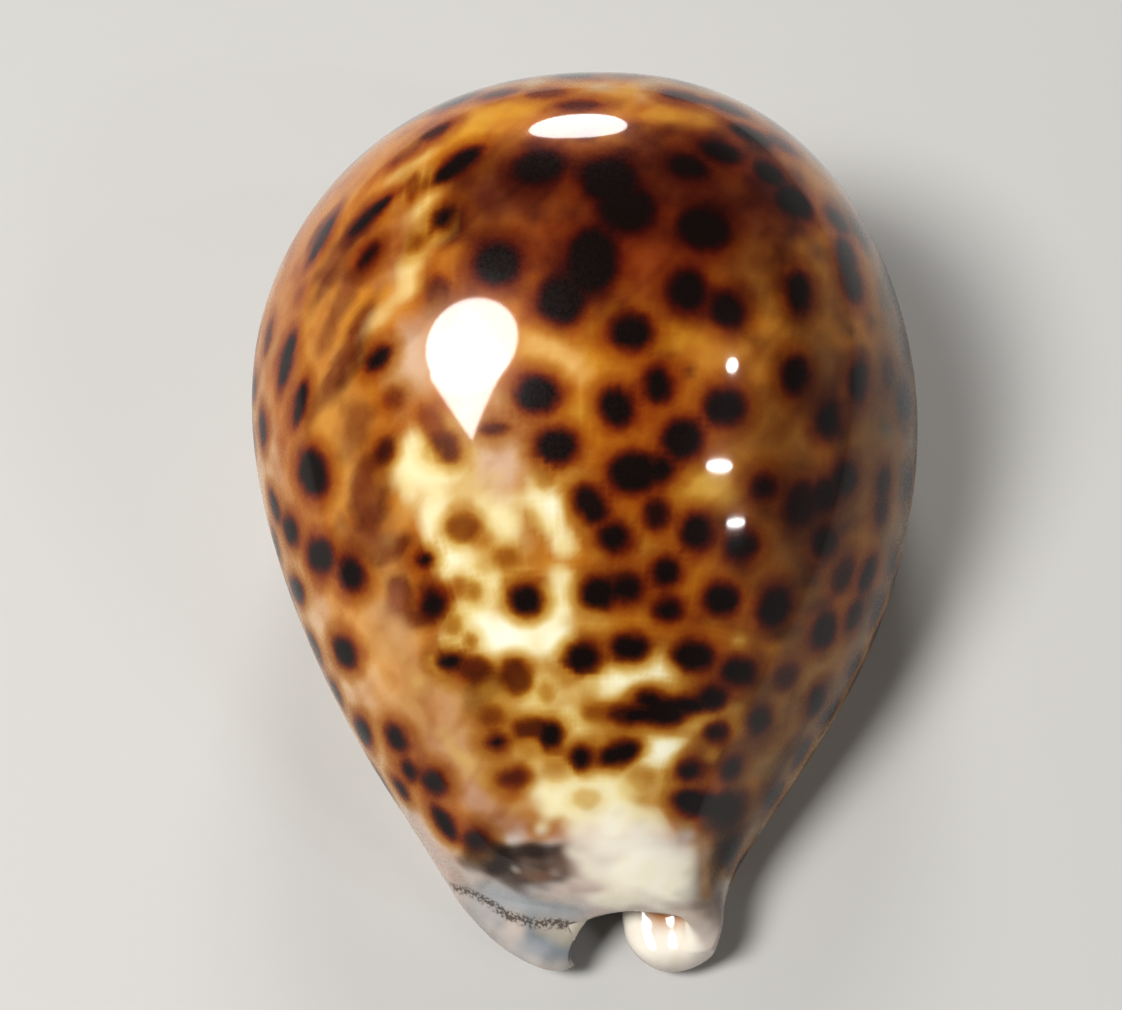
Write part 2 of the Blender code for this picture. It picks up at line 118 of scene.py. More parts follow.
# Spots: along, turn, half width across, half length, slant and strength. The slant leans the
# length to the right, in degrees. The strength runs from a faint amber stain to black at 1.
SPOTS = (
    # The back, left of the middle.
    (18.2, -19.5, 1.1, 2.6, 55, 1), (13, -21.4, 0.9, 1.2, 40, 0.9), (15.2, -37, 0.6, 2.6, 60, 0.95),
    (11.2, -36.7, 0.7, 1.4, 50, 0.95), (15.2, -48.3, 0.6, 2.6, 38, 0.85),
    (5.1, -58, 0.9, 2.6, 40, 0.95), (1.8, -37.1, 0.7, 1.4, 60, 0.9), (6.7, -24.5, 0.8, 0.9, 0, 0.5),
    (11.2, -27.8, 0.5, 1, 50, 0.5), (17.2, -28.2, 0.6, 1.2, 0, 0.5), (8, -12, 2, 1.9, 0, 1),
    (17.1, -5, 2.2, 1.7, 0, 1), (4.4, 0.4, 2, 2, 0, 1), (8.3, 4.5, 2.2, 2.9, 0, 1),
    (15.7, 6.2, 2.4, 2.2, 0, 1), (12.8, 10, 2.4, 2.1, 0, 1), (24.7, 0, 1.8, 0.7, 0, 0.6),
    (23.6, -26.3, 0.7, 1.6, 65, 0.7), (21.5, -32.5, 0.6, 1.6, 60, 0.45), (27.8, -16, 1.6, 0.8, 0, 0.6),
    (27, -6, 1.6, 0.8, 0, 0.5), (9, -66, 0.6, 1.5, 30, 0.6), (10.7, -54.5, 0.5, 1, 35, 0.35),
    (0.5, -57, 0.7, 2, 42, 0.95),
    # The front, left of the middle.
    (1.5, -71, 0.8, 1.6, 20, 0.9), (-5.2, -58, 1.9, 2.2, 0, 1), (-5.2, -74, 0.9, 1.4, 0, 0.9),
    (-8.3, -70, 1.4, 1.3, 0, 1), (-11.7, -64.3, 1.8, 1.6, 0, 1), (-14.3, -57.6, 1.5, 1.5, 0, 1),
    (-19.2, -69.2, 1.5, 1.4, 0, 1), (-16.5, -84, 1.5, 1.6, 0, 1), (-11, -88, 1.3, 1.3, 0, 1),
    (-20.3, -84, 1.2, 1.2, 0, 1), (-17.8, -38.8, 1.2, 1.15, 0, 1), (-14.6, -37.8, 0.7, 0.5, 0, 1),
    (-12.9, -26.3, 1.4, 1.1, 0, 0.5), (-6.2, -26.6, 1, 1.5, -30, 0.6),
    (-4.4, -28.8, 0.7, 1.5, -30, 0.4), (-2.1, -34.5, 0.9, 0.8, 0, 0.5), (-6.1, -40, 0.7, 1, 50, 0.6),
    (-18.4, -13.2, 1.5, 1.35, 20, 1), (-22.4, 0.8, 1.6, 1.4, 0, 1), (-22.3, -40, 1.2, 0.75, 0, 1),
    (-23.1, -33, 1.3, 1, 0, 0.6), (-23.6, -20.3, 1.2, 1.5, -10, 0.62), (-7.1, -1.8, 1.9, 1.5, 0, 1),
    (-2.8, -4.4, 1.8, 1.6, 0, 1), (-5.3, -15.5, 1.2, 0.5, 0, 0.6), (-8.9, -5.8, 0.7, 1.4, 0, 0.35),
    (-15.2, -16.5, 0.9, 0.8, 0, 0.4), (-26.6, 5, 1.1, 0.8, 0, 0.45), (-32.6, -2, 1, 0.8, 0, 0.25),
    # The back, right of the middle.
    (20.4, 24, 2, 1.2, 0, 1), (19.7, 31.5, 1.6, 1.3, 0, 1), (18, 18, 1.7, 1.1, 0, 0.95),
    (11.8, 21.9, 2.3, 1.9, 0, 1), (5.9, 19.2, 1.7, 1.9, 0, 1), (5.1, 26, 1.4, 1.5, 0, 0.85),
    (2.1, 12, 1.9, 1.6, 0, 1), (8.4, 38.6, 1.2, 1.9, 0, 0.85), (1.3, 39, 1.2, 1.6, 0, 0.9),
    (3.1, 53, 1.2, 1.8, 0, 0.9), (6, 62, 1, 1.4, 0, 0.5), (17.7, 37, 2.2, 1.7, 0, 0.9),
    (14.3, 48.8, 1.3, 2.2, 0, 0.85), (11.8, 50.5, 1.3, 1.6, 0, 0.8), (18.5, 47, 1.6, 1.2, 0, 0.85),
    (24.3, 29, 2, 1, 0, 0.85), (27.6, 17, 2, 0.9, 0, 0.7), (27.7, 25.5, 2, 0.9, 0, 0.7),
    (25.2, 35.5, 1.6, 0.9, 0, 0.6), (19.8, 54, 1.5, 1.2, 0, 0.6), (31, 6, 1.8, 0.8, 0, 0.5),
    # The front, right of the middle.
    (-4, 9, 1.4, 1.7, -25, 1), (-2, 16, 1.2, 1.7, -20, 1), (-2.9, 27.3, 1.9, 1.6, -20, 1),
    (-6.1, 21.5, 1.8, 1.8, 0, 1), (-8.9, 12.7, 2.2, 1.9, 0, 1), (-8.5, 18.2, 1.2, 1.1, 0, 0.9),
    (-11.9, 17.6, 1, 1.3, -15, 0.8), (-11.5, 4.5, 1.2, 1.9, -30, 0.85), (-13.8, 9.7, 1.4, 1.3, 0, 1),
    (-12.8, 25.6, 1.3, 1.5, -15, 0.9), (-13.4, 35.3, 1.4, 1.2, -20, 0.9), (-8.4, 38, 1.2, 1, 0, 0.8),
    (-1.3, 47.7, 1.2, 1.5, 0, 0.9), (-5.2, 54.6, 1.4, 1.5, 0, 0.85), (-8.8, 46.3, 1.5, 1.8, 0, 0.7),
    (-7.3, 51, 1.3, 1.3, 0, 0.8), (-10.8, 53.9, 1.2, 1.3, 0, 0.9), (-3.3, 66, 1.1, 1.3, 0, 0.8),
    (-5.3, 67, 1, 1.2, 0, 0.7), (-12.4, 61.5, 1.2, 1.5, 0, 0.6), (-10.6, 70, 1.2, 1.7, 0, 0.85),
    (-17.2, 33.9, 1.6, 1.35, 0, 1), (-16.7, 46.7, 1.5, 1.7, 0, 1), (-17.7, 5.7, 1.6, 1.4, 0, 1),
    (-17.5, 13.6, 1.5, 1.25, 0, 1), (-15.9, 20.9, 1.2, 1.2, 0, 0.95), (-18.5, 22.7, 1.2, 1, 0, 0.9),
    (-21.6, 14.3, 1.7, 1.25, 0, 1), (-21.7, 29.3, 1.9, 1.4, 0, 0.9), (-22.2, 42.9, 1.7, 1.25, 0, 1),
    (-17, 62.8, 1.6, 1.5, 0, 1), (-21.4, 57.6, 1.2, 1, 0, 0.6), (-14.2, 71.5, 1.2, 1.3, 0, 0.8),
    # The front end.
    (-24.4, 36.7, 1.3, 1.1, 0, 0.95), (-26.1, 25.4, 2.1, 1.25, 0, 1), (-25.3, 20.3, 1.2, 0.9, 0, 1),
    (-26.5, 13, 1.3, 0.7, 0, 0.7), (-26.6, -32.5, 1, 0.8, 0, 0.5), (-28.4, -34.5, 0.9, 0.55, 0, 0.85),
    (-27.4, -20, 1.5, 1.1, 0, 0.65), (-27.8, -12.3, 1.1, 1.3, 0, 1), (-29.1, 12, 1, 1.8, 65, 1),
    (-29.6, -1, 0.9, 1.1, 0, 0.9), (-29.8, 35.6, 1.2, 1, 0, 0.85), (-28.9, 51, 1, 1, 0, 0.8),
    (-26.9, 42, 1.2, 0.9, 0, 0.8), (-24.8, 54, 1.2, 1.1, 0, 0.8), (-32, 43, 2.6, 1.2, 0, 0.95),
    (-31.5, 56, 1.8, 1.3, 0, 1), (-30.8, -33.6, 1.2, 0.7, 0, 0.6), (-30.3, -62, 1.2, 1.2, 0, 1),
    (-26.5, -67, 1.2, 1.3, 0, 1), (-28.9, -68.5, 0.8, 0.9, 0, 1), (-29.6, -78, 0.7, 1, 0, 1),
    (-33, -67.5, 0.9, 1.7, 0, 1), (-34.6, -59.5, 1.1, 0.9, 0, 0.85), (-26.4, 17, 1.6, 0.8, 0, 0.9),
    (-25.2, 31, 1.6, 0.9, 0, 0.9),
    # Honey stains in the cream.
    (-23.8, -4.5, 1.4, 1, 0, 0.24), (-17.3, -27.3, 0.6, 0.7, 0, 0.4), (-15.4, -22.4, 0.8, 0.6, 0, 0.24),
    (-7, -30.5, 0.7, 0.5, 0, 0.24), (-30.8, 20, 1, 1.2, -20, 0.24), (-28.6, -22, 1, 1, 0, 0.24),
    (-12.5, -8, 0.6, 1.2, -20, 0.24), (-17, -30.5, 0.5, 0.8, 0, 0.35), (-19.5, -35.5, 0.7, 0.9, 0, 0.4),
    (-13.5, -20.5, 0.9, 0.7, 0, 0.24), (-20.8, -32, 0.5, 0.5, 0, 0.45),
    (-14.5, -9.5, 0.7, 1.4, -20, 0.18), (-30.6, -12, 1.2, 0.9, 0, 0.24),
    (-24.8, -10.5, 0.6, 0.9, 0, 0.35), (-24.6, 3, 0.8, 1.2, 0, 0.24),
)

# Two spots run together over about this many mm. Away from all spots the strength is this. To
# find the point nearest to a place, a degree of turn counts as this many mm.
SPOT_JOIN = 0.25
BARE_STRENGTH = 0.7
MM_PER_DEGREE = 0.4

# The spots of the sides and the far end are scattered evenly, this far apart in mm. On the left
# and the right they start at these turns, the right one less by SCATTER_LEAN degrees for each mm
# towards the back, and at the far end this far back, and SCATTER_BOW mm more at the top. They stop
# at this turn towards the base, and this near to the front, on the left and elsewhere. They weaken
# between two turns.
SCATTER_SEED = 5
SCATTER_TRIES = 4000
SCATTER_APART = 4.7
SCATTER_SIZE = (1.0, 1.9)
SCATTER_SLANT = 40.0
SCATTER_LEFT = -74.0
SCATTER_RIGHT = 72.0
SCATTER_LEAN = 0.5
SCATTER_BACK = 24.0
SCATTER_BOW = 5.0
SCATTER_LOWEST = 116.0
SCATTER_FRONT = (-28.0, -34.0)
SCATTER_STRENGTH = 0.95
SCATTER_WEAKENS = 0.55
SCATTER_FADE = (82.0, 112.0)

# Washes, laid one over another: a colour, how soft its edges are, and its strokes, each with
# along, turn, half length, half width across, slant and weight.
WASHES = (
    # Tan and dull pink on the left side and the front left.
    ("#B06E34", 0.7, ((0, -60, 26, 9, 0, 0.75),)),
    ("#CC9A62", 0.6, ((-22, -56, 9, 7, 0, 0.9), (-28, -47, 5, 4.5, 0, 0.8))),
    ("#D4A67E", 0.6, ((-30, -46, 4, 4.5, 0, 0.8), (-26, -44, 3, 2, 0, 0.6))),
    ("#BE8C74", 0.7, ((-30, -52, 4, 4, 0, 0.7),)),
    ("#D89C50", 0.7, ((-17.5, -63, 3.5, 2, 10, 0.8), (-21.5, -60, 3, 2.5, 0, 0.7))),
    ("#C88428", 0.6, ((-31.5, -36, 2, 2, 0, 0.8), (-20.5, -43, 2, 2, 0, 0.6))),
    ("#94705C", 0.7, ((-34.3, -47, 1.8, 3.2, 0, 0.75), (-32.4, -51, 1.6, 1.6, 0, 0.5))),
    # Red-brown and dark brown on the back and down the right. The broad red-brown over the front is
    # painted shade, where the front slopes away from the light.
    ("#96561A", 0.8, ((-27, 12, 10, 20, 0, 0.8), (-16, 30, 7, 8, 0, 0.4))),
    ("#752C08", 0.5, ((13, 2, 9, 13, 0, 0.9), (16, 24, 8, 9, 0, 0.9), (9, 14, 6, 8, 0, 0.8))),
    ("#4A1808", 0.7, (
        (16, 18, 4.5, 8, 0, 0.9), (14.5, -9, 2.2, 4, 0, 0.8), (14, 33, 6, 4.5, 0, 0.8),
        (14, 8, 4.2, 3.4, 20, 0.9), (6.2, 2.5, 3.4, 2.8, 0, 0.6), (8.5, 29, 3, 3.6, 0, 0.5),
        (16, -13, 3.2, 3.6, 0, 0.75), (11.5, -13, 2, 3.2, 0, 0.5),
    )),
    ("#7A4512", 0.7, ((7.5, 33, 4.5, 1.2, -45, 0.5),)),
    ("#8A3C10", 0.7, ((8, 12, 2, 2.5, 0, 0.7), (13, 14, 1, 1.5, 0, 0.4))),
    # These dark browns down the right side are partly the shell's own brown and partly painted shade, on
    # the side turned away from the light.
    ("#653610", 0.7, ((-3, 42, 12, 6, 0, 0.8), (-12, 48, 7, 6, 0, 0.75))),
    ("#46290F", 0.8, ((-4, 58, 14, 4.5, 0, 0.7),)),
    ("#5C4020", 0.8, ((-24, 54, 8, 5, 0, 0.8),)),
    ("#46220E", 0.7, ((-9.5, 47, 3, 2.6, 0, 0.75), (1.5, 44, 4, 3, 0, 0.7), (9, 44, 5, 4, 0, 0.5))),
    # Gold between the spots.
    ("#CC8C22", 0.6, (
        (-6, 4.5, 2.2, 1.5, -10, 0.8), (0.5, -3, 3, 1.8, -30, 0.7), (1, 8, 2, 2.5, -30, 0.6),
        (-3.5, 1, 3.4, 1.2, 25, 0.7), (-7, 9.5, 1.6, 1.2, -30, 0.6), (-12, 20, 1.8, 1.6, -20, 0.6),
        (2.2, 18, 1, 2.6, 0, 0.6), (-10.5, 12.5, 2.5, 1.1, -30, 0.7), (-16.5, 26, 2.2, 1.8, -20, 0.7),
        (-20, 18, 1.1, 3.2, 0, 0.8), (-20.3, 36, 1.4, 3, 0, 0.6), (-19.8, 7, 1, 3, 0, 0.8),
        (-15.2, -0.5, 1.5, 2.2, 0, 0.7), (25, -14, 2, 4, -15, 0.9), (22, -20, 1.4, 2.6, 50, 0.8),
        (19.8, -24.5, 2, 1.2, 60, 0.8), (28, 6, 1.4, 6, 0, 0.7), (24.3, 17, 1.2, 3.6, 0, 0.4),
        (-8, 33, 1.6, 1.8, 0, 0.3),
    )),
    ("#D0A040", 0.7, (
        (-9.4, 25.5, 1.6, 2.4, 0, 0.85), (-4.5, 3, 1, 1, 0, 0.6), (-26.8, 33, 1, 1.6, -30, 0.6),
        (-26.5, 46, 1.2, 1.6, -40, 0.5), (0.3, -5, 0.8, 1.2, 0, 0.5),
    )),
    ("#C88A36", 0.7, (
        (-4, -53, 7.5, 3, 8, 0.8), (2, -44, 3, 1.6, 48, 0.5), (-9, -40.5, 2.6, 1.6, 40, 0.6),
        (8, -50, 5, 1.6, 45, 0.5), (-14.5, -50, 2, 2.2, 20, 0.5),
    )),
    # Slanting red-brown smears on the left.
    ("#662408", 0.5, (
        (13.5, -41.5, 4.4, 1.3, 52, 0.85), (10.5, -45.5, 4, 1, 52, 0.7), (8, -42.5, 3, 1.3, 45, 0.7),
        (4.5, -41, 3.6, 1.2, 45, 0.9), (5, -47.5, 2.4, 1.2, 40, 0.5), (1.5, -46.5, 3, 1.1, 45, 0.8),
        (-3.5, -45, 3, 1.7, 40, 0.7), (-7.5, -46.5, 2.6, 1.2, 45, 0.85),
        (-9.8, -46.6, 3.2, 2.2, 35, 0.85), (-12.2, -53, 1.6, 2.6, 0, 0.6),
        (-13, -43, 1.8, 0.9, 60, 0.8), (-16.8, -46.5, 2.4, 1.8, 20, 0.85),
        (-18.7, -44, 1.2, 2.2, 0, 0.8), (-24, -30, 1.4, 2.2, 0, 0.95), (-25.5, -36, 1.8, 1.2, -30, 0.8),
        (-16.3, -38.5, 1, 1, 0, 0.6), (17, -49, 3, 1, 50, 0.6), (0, -52, 3, 0.9, 48, 0.5),
    )),
    ("#551B06", 0.5, (
        (1.5, -43.5, 2.6, 0.9, 50, 0.8), (-10.5, -46, 1.3, 1.2, 0, 0.7),
        (-6.1, -39.5, 1.4, 0.7, 50, 0.7), (-24, -27.5, 1.3, 2.2, 0, 0.9),
        (13.5, -41, 1.8, 0.7, 52, 0.7), (-16.2, -45.5, 0.9, 1.2, 0, 0.6),
    )),
    ("#94583C", 0.7, ((11, -33.5, 3.2, 2.6, 40, 0.6), (-16.8, -47, 1.2, 1.4, 0, 0.5))),
    # The pale, wandering mantle line.
    ("#DEC07C", 0.8, (
        (22.5, -29.5, 2.2, 0.9, 50, 0.6), (19.4, -31, 2.4, 0.9, 55, 0.7),
        (17, -28.3, 2.2, 0.9, 45, 0.7), (14.6, -25.2, 2.2, 1.1, 30, 0.85), (12, -24, 2, 1, 25, 0.8),
        (10, -26.8, 2, 0.9, 35, 0.8), (8, -28.1, 2.1, 1, 10, 0.8), (6.7, -30.8, 1.9, 0.8, 70, 0.6),
        (5, -35, 1.8, 0.9, 55, 0.6),
    )),
    # Pinkish grey round the cream, partly the shell's dull pink and partly a painted reflection: the haze
    # below and beside the window lamp's highlight. Then pale stripes at the front right.
    ("#D0AE90", 0.7, (
        (-7.5, -15, 3.4, 4, 0, 0.85), (-11, -24, 2.5, 3, 0, 0.7), (0.8, -32, 3.6, 2.2, 15, 0.8),
        (-13.5, -13, 1.8, 1.6, 0, 0.6),
    )),
    ("#A8824E", 0.7, (
        (-25.2, 43.5, 2.2, 0.9, 60, 0.8), (-27.4, 35, 2, 1.1, 60, 0.8), (-23.5, 60, 2, 1.5, 20, 0.75),
        (-20.8, 64, 1.8, 1.3, 0, 0.7), (-18.7, 68, 1.6, 1.3, 0, 0.6), (-28.8, 58.5, 1.6, 1.3, 20, 0.75),
        (-27.2, 67, 1.4, 1.2, 0, 0.6),
    )),
    ("#DCAC64", 0.7, ((1.2, -3.5, 1.5, 1.2, -30, 0.75), (-0.8, 1.5, 1.6, 1, -35, 0.75))),
    # Honey, cream and near-white, one within another. The honey's broad first stroke over the front is
    # partly painted shade.
    ("#D4AE60", 0.6, (
        (-26, -6, 8, 9, 0, 0.85), (-17, -21.5, 7, 4, 0, 0.85), (-9, -30, 4, 4, 0, 0.8),
        (-23.5, 16, 2.2, 5, -12, 0.8), (-28, 26, 3, 3.5, -25, 0.8), (-11.5, -4, 3.5, 2.6, -20, 0.8),
        (-26, 38, 1.8, 3.5, -10, 0.55), (-31.5, 24, 2.5, 5, 0, 0.7), (-19, -2, 3.5, 2.6, 0, 0.7),
    )),
    ("#EFE2B0", 0.6, (
        (-7.6, -34.2, 2.8, 1.5, 12, 1), (-8.2, -29, 1.6, 1.6, 0, 0.9), (-11.5, -33, 2.2, 1.2, 10, 0.9),
        (-12.2, -16.5, 2, 1.9, -20, 0.9), (-11.6, -4.3, 2.7, 1.2, -25, 1),
        (-14.2, -2.2, 1.2, 1, 0, 0.8), (-14.8, -31.5, 2.4, 1.7, 10, 1), (-16.5, -24.5, 2, 1.6, 0, 0.9),
        (-19.2, -30.5, 1.9, 2.6, 0, 1), (-20.8, -22, 1.9, 3.8, 0, 1),
        (-18.6, -5.5, 2.2, 2.2, -20, 0.95), (-21.5, -9.5, 2, 2.6, 0, 0.9), (-25, -13.5, 2, 2.2, 0, 0.9),
        (-27.3, -5.5, 1.6, 2.2, 0, 0.85), (-23.7, 11.6, 1.3, 4.2, -16, 0.95),
        (-29, 24.4, 2.6, 1.1, 55, 0.95), (-26.2, 36, 3.4, 0.9, 55, 0.5), (-32, -17, 1.8, 2.4, 0, 0.95),
        (-32.8, -4, 2.2, 2.8, 0, 0.95), (-31.6, 8, 1.8, 2.6, 0, 0.9), (-33.8, 20, 1.4, 3, 0, 0.8),
    )),
    ("#F8F5DC", 0.8, (
        (-20.3, -27.5, 1.6, 1.7, 0, 0.9), (-21, -21.5, 1.4, 2, 0, 0.9), (-21.2, -5, 1.6, 1.6, 0, 0.9),
        (-10.8, -5.2, 2, 0.8, -25, 0.9), (-23.6, 12.8, 0.9, 3, -16, 0.7),
        (-14.8, -30.5, 1.6, 1.2, 10, 0.7), (-28.8, 24.8, 1.7, 0.8, 55, 0.8),
        (-32.5, -4, 1.4, 2, 0, 0.6),
    )),
)
GROUND_COLOUR = "#BC7622"

# The margins, the base and the front end go over these washes, and the front's own washes last.
LEFT_RIM_COLOUR = "#D2B08C"
# The right rim's dark grey-brown is partly its own grey margin and partly painted shade.
RIGHT_RIM_AND_SHADE_COLOUR = "#66553F"
BACK_RIM_COLOUR = "#B89A78"
PORCELAIN_COLOUR = "#F0E7D6"
FRONT_COLOUR = "#BFB2A8"
FRONT_WASHES = (
    # Pinkish grey over the slate of the left lobe.
    ("#C4ACA0", 0.6, ((-32.5, -86, 4.5, 3, 0, 0.8), (-35, -96, 3, 3, 0, 0.8))),
    ("#A39E9B", 0.6, ((-38, -70, 2, 7, 0, 0.8), (-38.5, -95, 2.5, 3, 0, 0.8))),
    ("#92969A", 0.6, (
        (-41, -88, 2.4, 4.5, 0, 0.9), (-41.2, -68, 1.5, 4.5, 0, 0.9), (-42, -100, 2.5, 5, 0, 0.9),
    )),
    ("#B4AA98", 0.5, ((-42.8, -85, 1.5, 3, 0, 0.8), (-42.4, -66, 1, 2, 0, 0.8))),
    ("#C9B6AC", 0.6, ((-39.4, -32, 1.6, 3.4, 0, 0.9), (-38.6, -12, 1.6, 3, 0, 0.9))),
    # The dark band above the left lobe.
    ("#574438", 0.4, (
        (-36.2, -62, 1.8, 3.2, 0, 0.9), (-36.9, -48, 2.1, 3.2, 0, 0.95), (-37.1, -33, 2, 3, 0, 0.9),
    )),
    ("#2C1D16", 0.6, (
        (-35.8, -46, 0.9, 2.2, 0, 0.95), (-36.6, -58, 0.9, 1.8, 0, 0.9), (-36.1, -30, 0.8, 2, 0, 0.85),
        (-37.6, -52, 0.6, 1, 0, 0.7),
    )),
    ("#644026", 0.6, ((-37.6, -42, 0.8, 1.3, 0, 0.9),)),
    ("#80695C", 0.6, ((-36.8, -19, 1.7, 2, 0, 0.85),)),
    ("#B09A8E", 0.7, ((-36.8, -9, 1.8, 1.8, 0, 0.7),)),
    # White porcelain above the canal, and dark brown to the right of it, which is partly the shell's
    # brown and partly painted shade on that side.
    ("#F3EBD6", 0.6, (
        (-35.2, 14, 2.2, 4.6, 0, 0.75), (-37.5, 20, 2.6, 5, 0, 1), (-37.4, 38, 3, 3.2, 0, 0.95),
        (-39.2, 4, 1.6, 3.4, 0, 0.9),
    )),
    ("#33190C", 0.7, ((-32.2, 60, 3, 3, 0, 0.85), (-27, 72, 4, 1.6, 0, 0.5))),
    ("#4E3A2E", 0.6, ((-35.5, 64, 3.5, 2, 0, 0.85), (-38.5, 74, 2.5, 1.6, 0, 0.6))),
)
SLATE_COLOUR = "#A9ADAF"
STREAK_COLOUR = "#A07850"

# The lines of the front end, as corners in mm. At these widths they are half as strong. The
# pitted line is sunk by this many mm.
CANAL_STREAK = ((11.2, -34.4, 14.8), (11.6, -37.9, 10.7))
SLATE_BAND = ((-8.2, -37.9, 9.8), (-4.5, -38.9, 9.5), (-0.9, -39.4, 9.3))
PITTED_LINE = (
    (-12.6, -36.2, 6.6), (-10.6, -37.3, 8.0), (-8.8, -38.3, 8.1), (-7.2, -39.4, 7.7), (-4.8, -40.1, 7.7),
    (-2.4, -40.2, 8.0), (-0.1, -40.5, 7.5),
)
STREAK_WIDTH = 0.7
SLATE_WIDTH = 1.3
PIT_WIDTH = 0.6
PIT_DEPTH = 0.22

# Waves that make the strokes' edges ragged: how many, their lengths in mm, and how far they push.
RIPPLE_SEED = 11
RIPPLE_COUNT = 24
RIPPLE_LENGTHS = (2.2, 9.0)
RIPPLE_PUSH = 0.22

# Where the margins' colours start and are full: turns on the left, on the right and towards the
# base, and mm at the back and at the front. Ripples push these edges by about this many degrees.
# The gloss weakens by this share between two turns on both sides.
RAGGED_DEGREES = 5.0
LEFT_MARGIN = (62.0, 82.0)
RIGHT_MARGIN = (58.0, 75.0)
BACK_MARGIN = (26.0, 31.0)
RIGHT_BASE_MARGIN = (74.0, 90.0)
BASE_MARGIN = (105.0, 118.0)
FRONT_MARGIN = (34.0, 36.6)
DULL_MARGIN = (42.0, 72.0)
DULLING = 0.75

# The lips and rims are white inside too, before the hollow's colour sets in over these distances.
# The front rim's own colour reaches this far in.
LIP_LINING = (2.5 * MM, 5.0 * MM)
RIM_LINING = (4.0 * MM, 6.5 * MM)
RIM_TINT = 3.5 * MM

# A spot's rim is narrower on pale ground: how much, and between which values of the linear green.
PALE_TIGHTENS = 0.5
PALE_GREENS = (0.25, 0.6)

# The distance in mm to a spot's edge where no spot is near.
FAR = 8.0

# The powers that the ground's colour is raised to in its dark streaks and blotches, and between.
DEEPENED = 1.45
LIGHTENED = 0.75

# How fine the noises are, in waves to the metre.
BLOTCHES = 240.0
STREAKS = 420.0
WAVES = 700.0
FLECKS = 900.0
GRAINS = 3200.0

# The glaze: the gloss of what lies under it, its own roughness, refraction and waves.
UNDER_GLOSS = 0.06
GLAZE_ROUGHNESS = 0.055
GLAZE_REFRACTION = 1.5
WAVE_HEIGHT = 0.012 * MM

SPOT_CORE = "#0E0402"
SPOT_DYE = "#965A16"
PIT_COLOUR = "#3A302A"
INSIDE_COLOUR = "#B9783E"
FLOOR_COLOUR = "#C0BEBA"
FLOOR_RADIUS = 0.8
FLOOR_SIDES = 96
FLOOR_DROP = 0.01 * MM

# The camera: what it aims at, its turn from the front and its height in degrees, its distance,
# its tilt, and its lens, film width and nearest distance.
CAMERA_AIM = (-2.29 * MM, -1.79 * MM, 18.85 * MM)
CAMERA_AZIMUTH = 6.08
CAMERA_ELEVATION = 62.58
CAMERA_DISTANCE = 240.0 * MM
CAMERA_ROLL = -5.56
CAMERA_LENS = 79.7
CAMERA_SENSOR = 36.0
CAMERA_NEAREST = 10.0 * MM

# Soft lamps: name, shape, place in metres, width, height, turn in degrees, and brightness. An
# ellipse fills this share of its box.
LAMPS = (
    ("window", "ELLIPSE", (-0.264, -0.141, 0.576), 0.185, 0.28, -33.0, 21.0),
    ("window_foot", "RECTANGLE", (-0.264, -0.183, 0.5535), 0.17, 0.17, 10.0, 20.0),
    ("back_strip", "ELLIPSE", (-0.015, 0.526, 0.372), 0.22, 0.18, 0.0, 17.0),
    ("side_lamp_1", "ELLIPSE", (0.417, -0.124, 0.469), 0.042, 0.022, -45.0, 60.0),
    ("side_lamp_2", "ELLIPSE", (0.376, -0.280, 0.429), 0.090, 0.016, -45.0, 55.0),
    ("side_lamp_3", "ELLIPSE", (0.425, -0.321, 0.344), 0.070, 0.011, -45.0, 50.0),
)
ELLIPSE_SHARE = 0.25 * np.pi
LAMP_AIM = (0.0, 0.0, 0.03)

# The studio dims from its walls to its ceiling between two sines of the height over the floor.
WALL_TOP = (0.05, 0.5)
WALL_BRIGHTNESS = 0.22
CEILING_BRIGHTNESS = 0.06
STUDIO_COLOUR = (0.97, 0.985, 1.0, 1.0)


def smooth_step(value, start, end):
    """Rises from 0 at start to 1 at end along t * t * (3 - 2 t)."""
    t = np.clip((value - start) / (end - start), 0.0, 1.0)
    return t * t * (3.0 - 2.0 * t)


def profile(values, station):
    """The natural cubic spline through values in mm, which stand at even steps of the station."""
    values = np.asarray(values) * MM
    last = len(values) - 1
    system = np.eye(last + 1)
    bends = np.zeros(last + 1)
    for row in range(1, last):
        system[row, row - 1 : row + 2] = 1.0, 4.0, 1.0
        bends[row] = 6.0 * (values[row - 1] - 2.0 * values[row] + values[row + 1])
    moments = np.linalg.solve(system, bends)
    place = station * last
    left = np.clip(place.astype(int), 0, last - 1)
    b = place - left
    a = 1.0 - b
    curve = (a**3 - a) * moments[left] + (b**3 - b) * moments[left + 1]
    return a * values[left] + b * values[left + 1] + curve / 6.0


def section(sizes, station, angle):
    """One cross-section's polar radius at each angle, and the x and z that it turns round.

    The angle runs from 0 straight down, through the left side at a quarter turn and the top at a
    half turn. The radius is (|sin / width| ** n + |cos / height| ** n) ** (-1 / n), in which the
    width, the height and n change smoothly from side to side and from bottom to top.
    """
    size = {name: profile(values, station) for name, values in sizes.items()}
    sine = np.sin(angle)
    cosine = np.cos(angle)
    right = smooth_step(-sine, -SIDE_BLEND, SIDE_BLEND)
    upper = smooth_step(-cosine, -HEIGHT_BLEND, HEIGHT_BLEND)
    width = size["left"] * (1.0 - right) + size["right"] * right
    girth = size["left_girth"] * (1.0 - right) + size["right_girth"] * right
    height = (girth - size["bottom"]) * (1.0 - upper) + (size["top"] - girth) * upper
    fullness = BOTTOM_FULLNESS * (1.0 - upper) + TOP_FULLNESS * upper
    radius = (np.abs(sine / width) ** fullness + np.abs(cosine / height) ** fullness) ** (-1.0 / fullness)
    return radius, size["centre"], girth


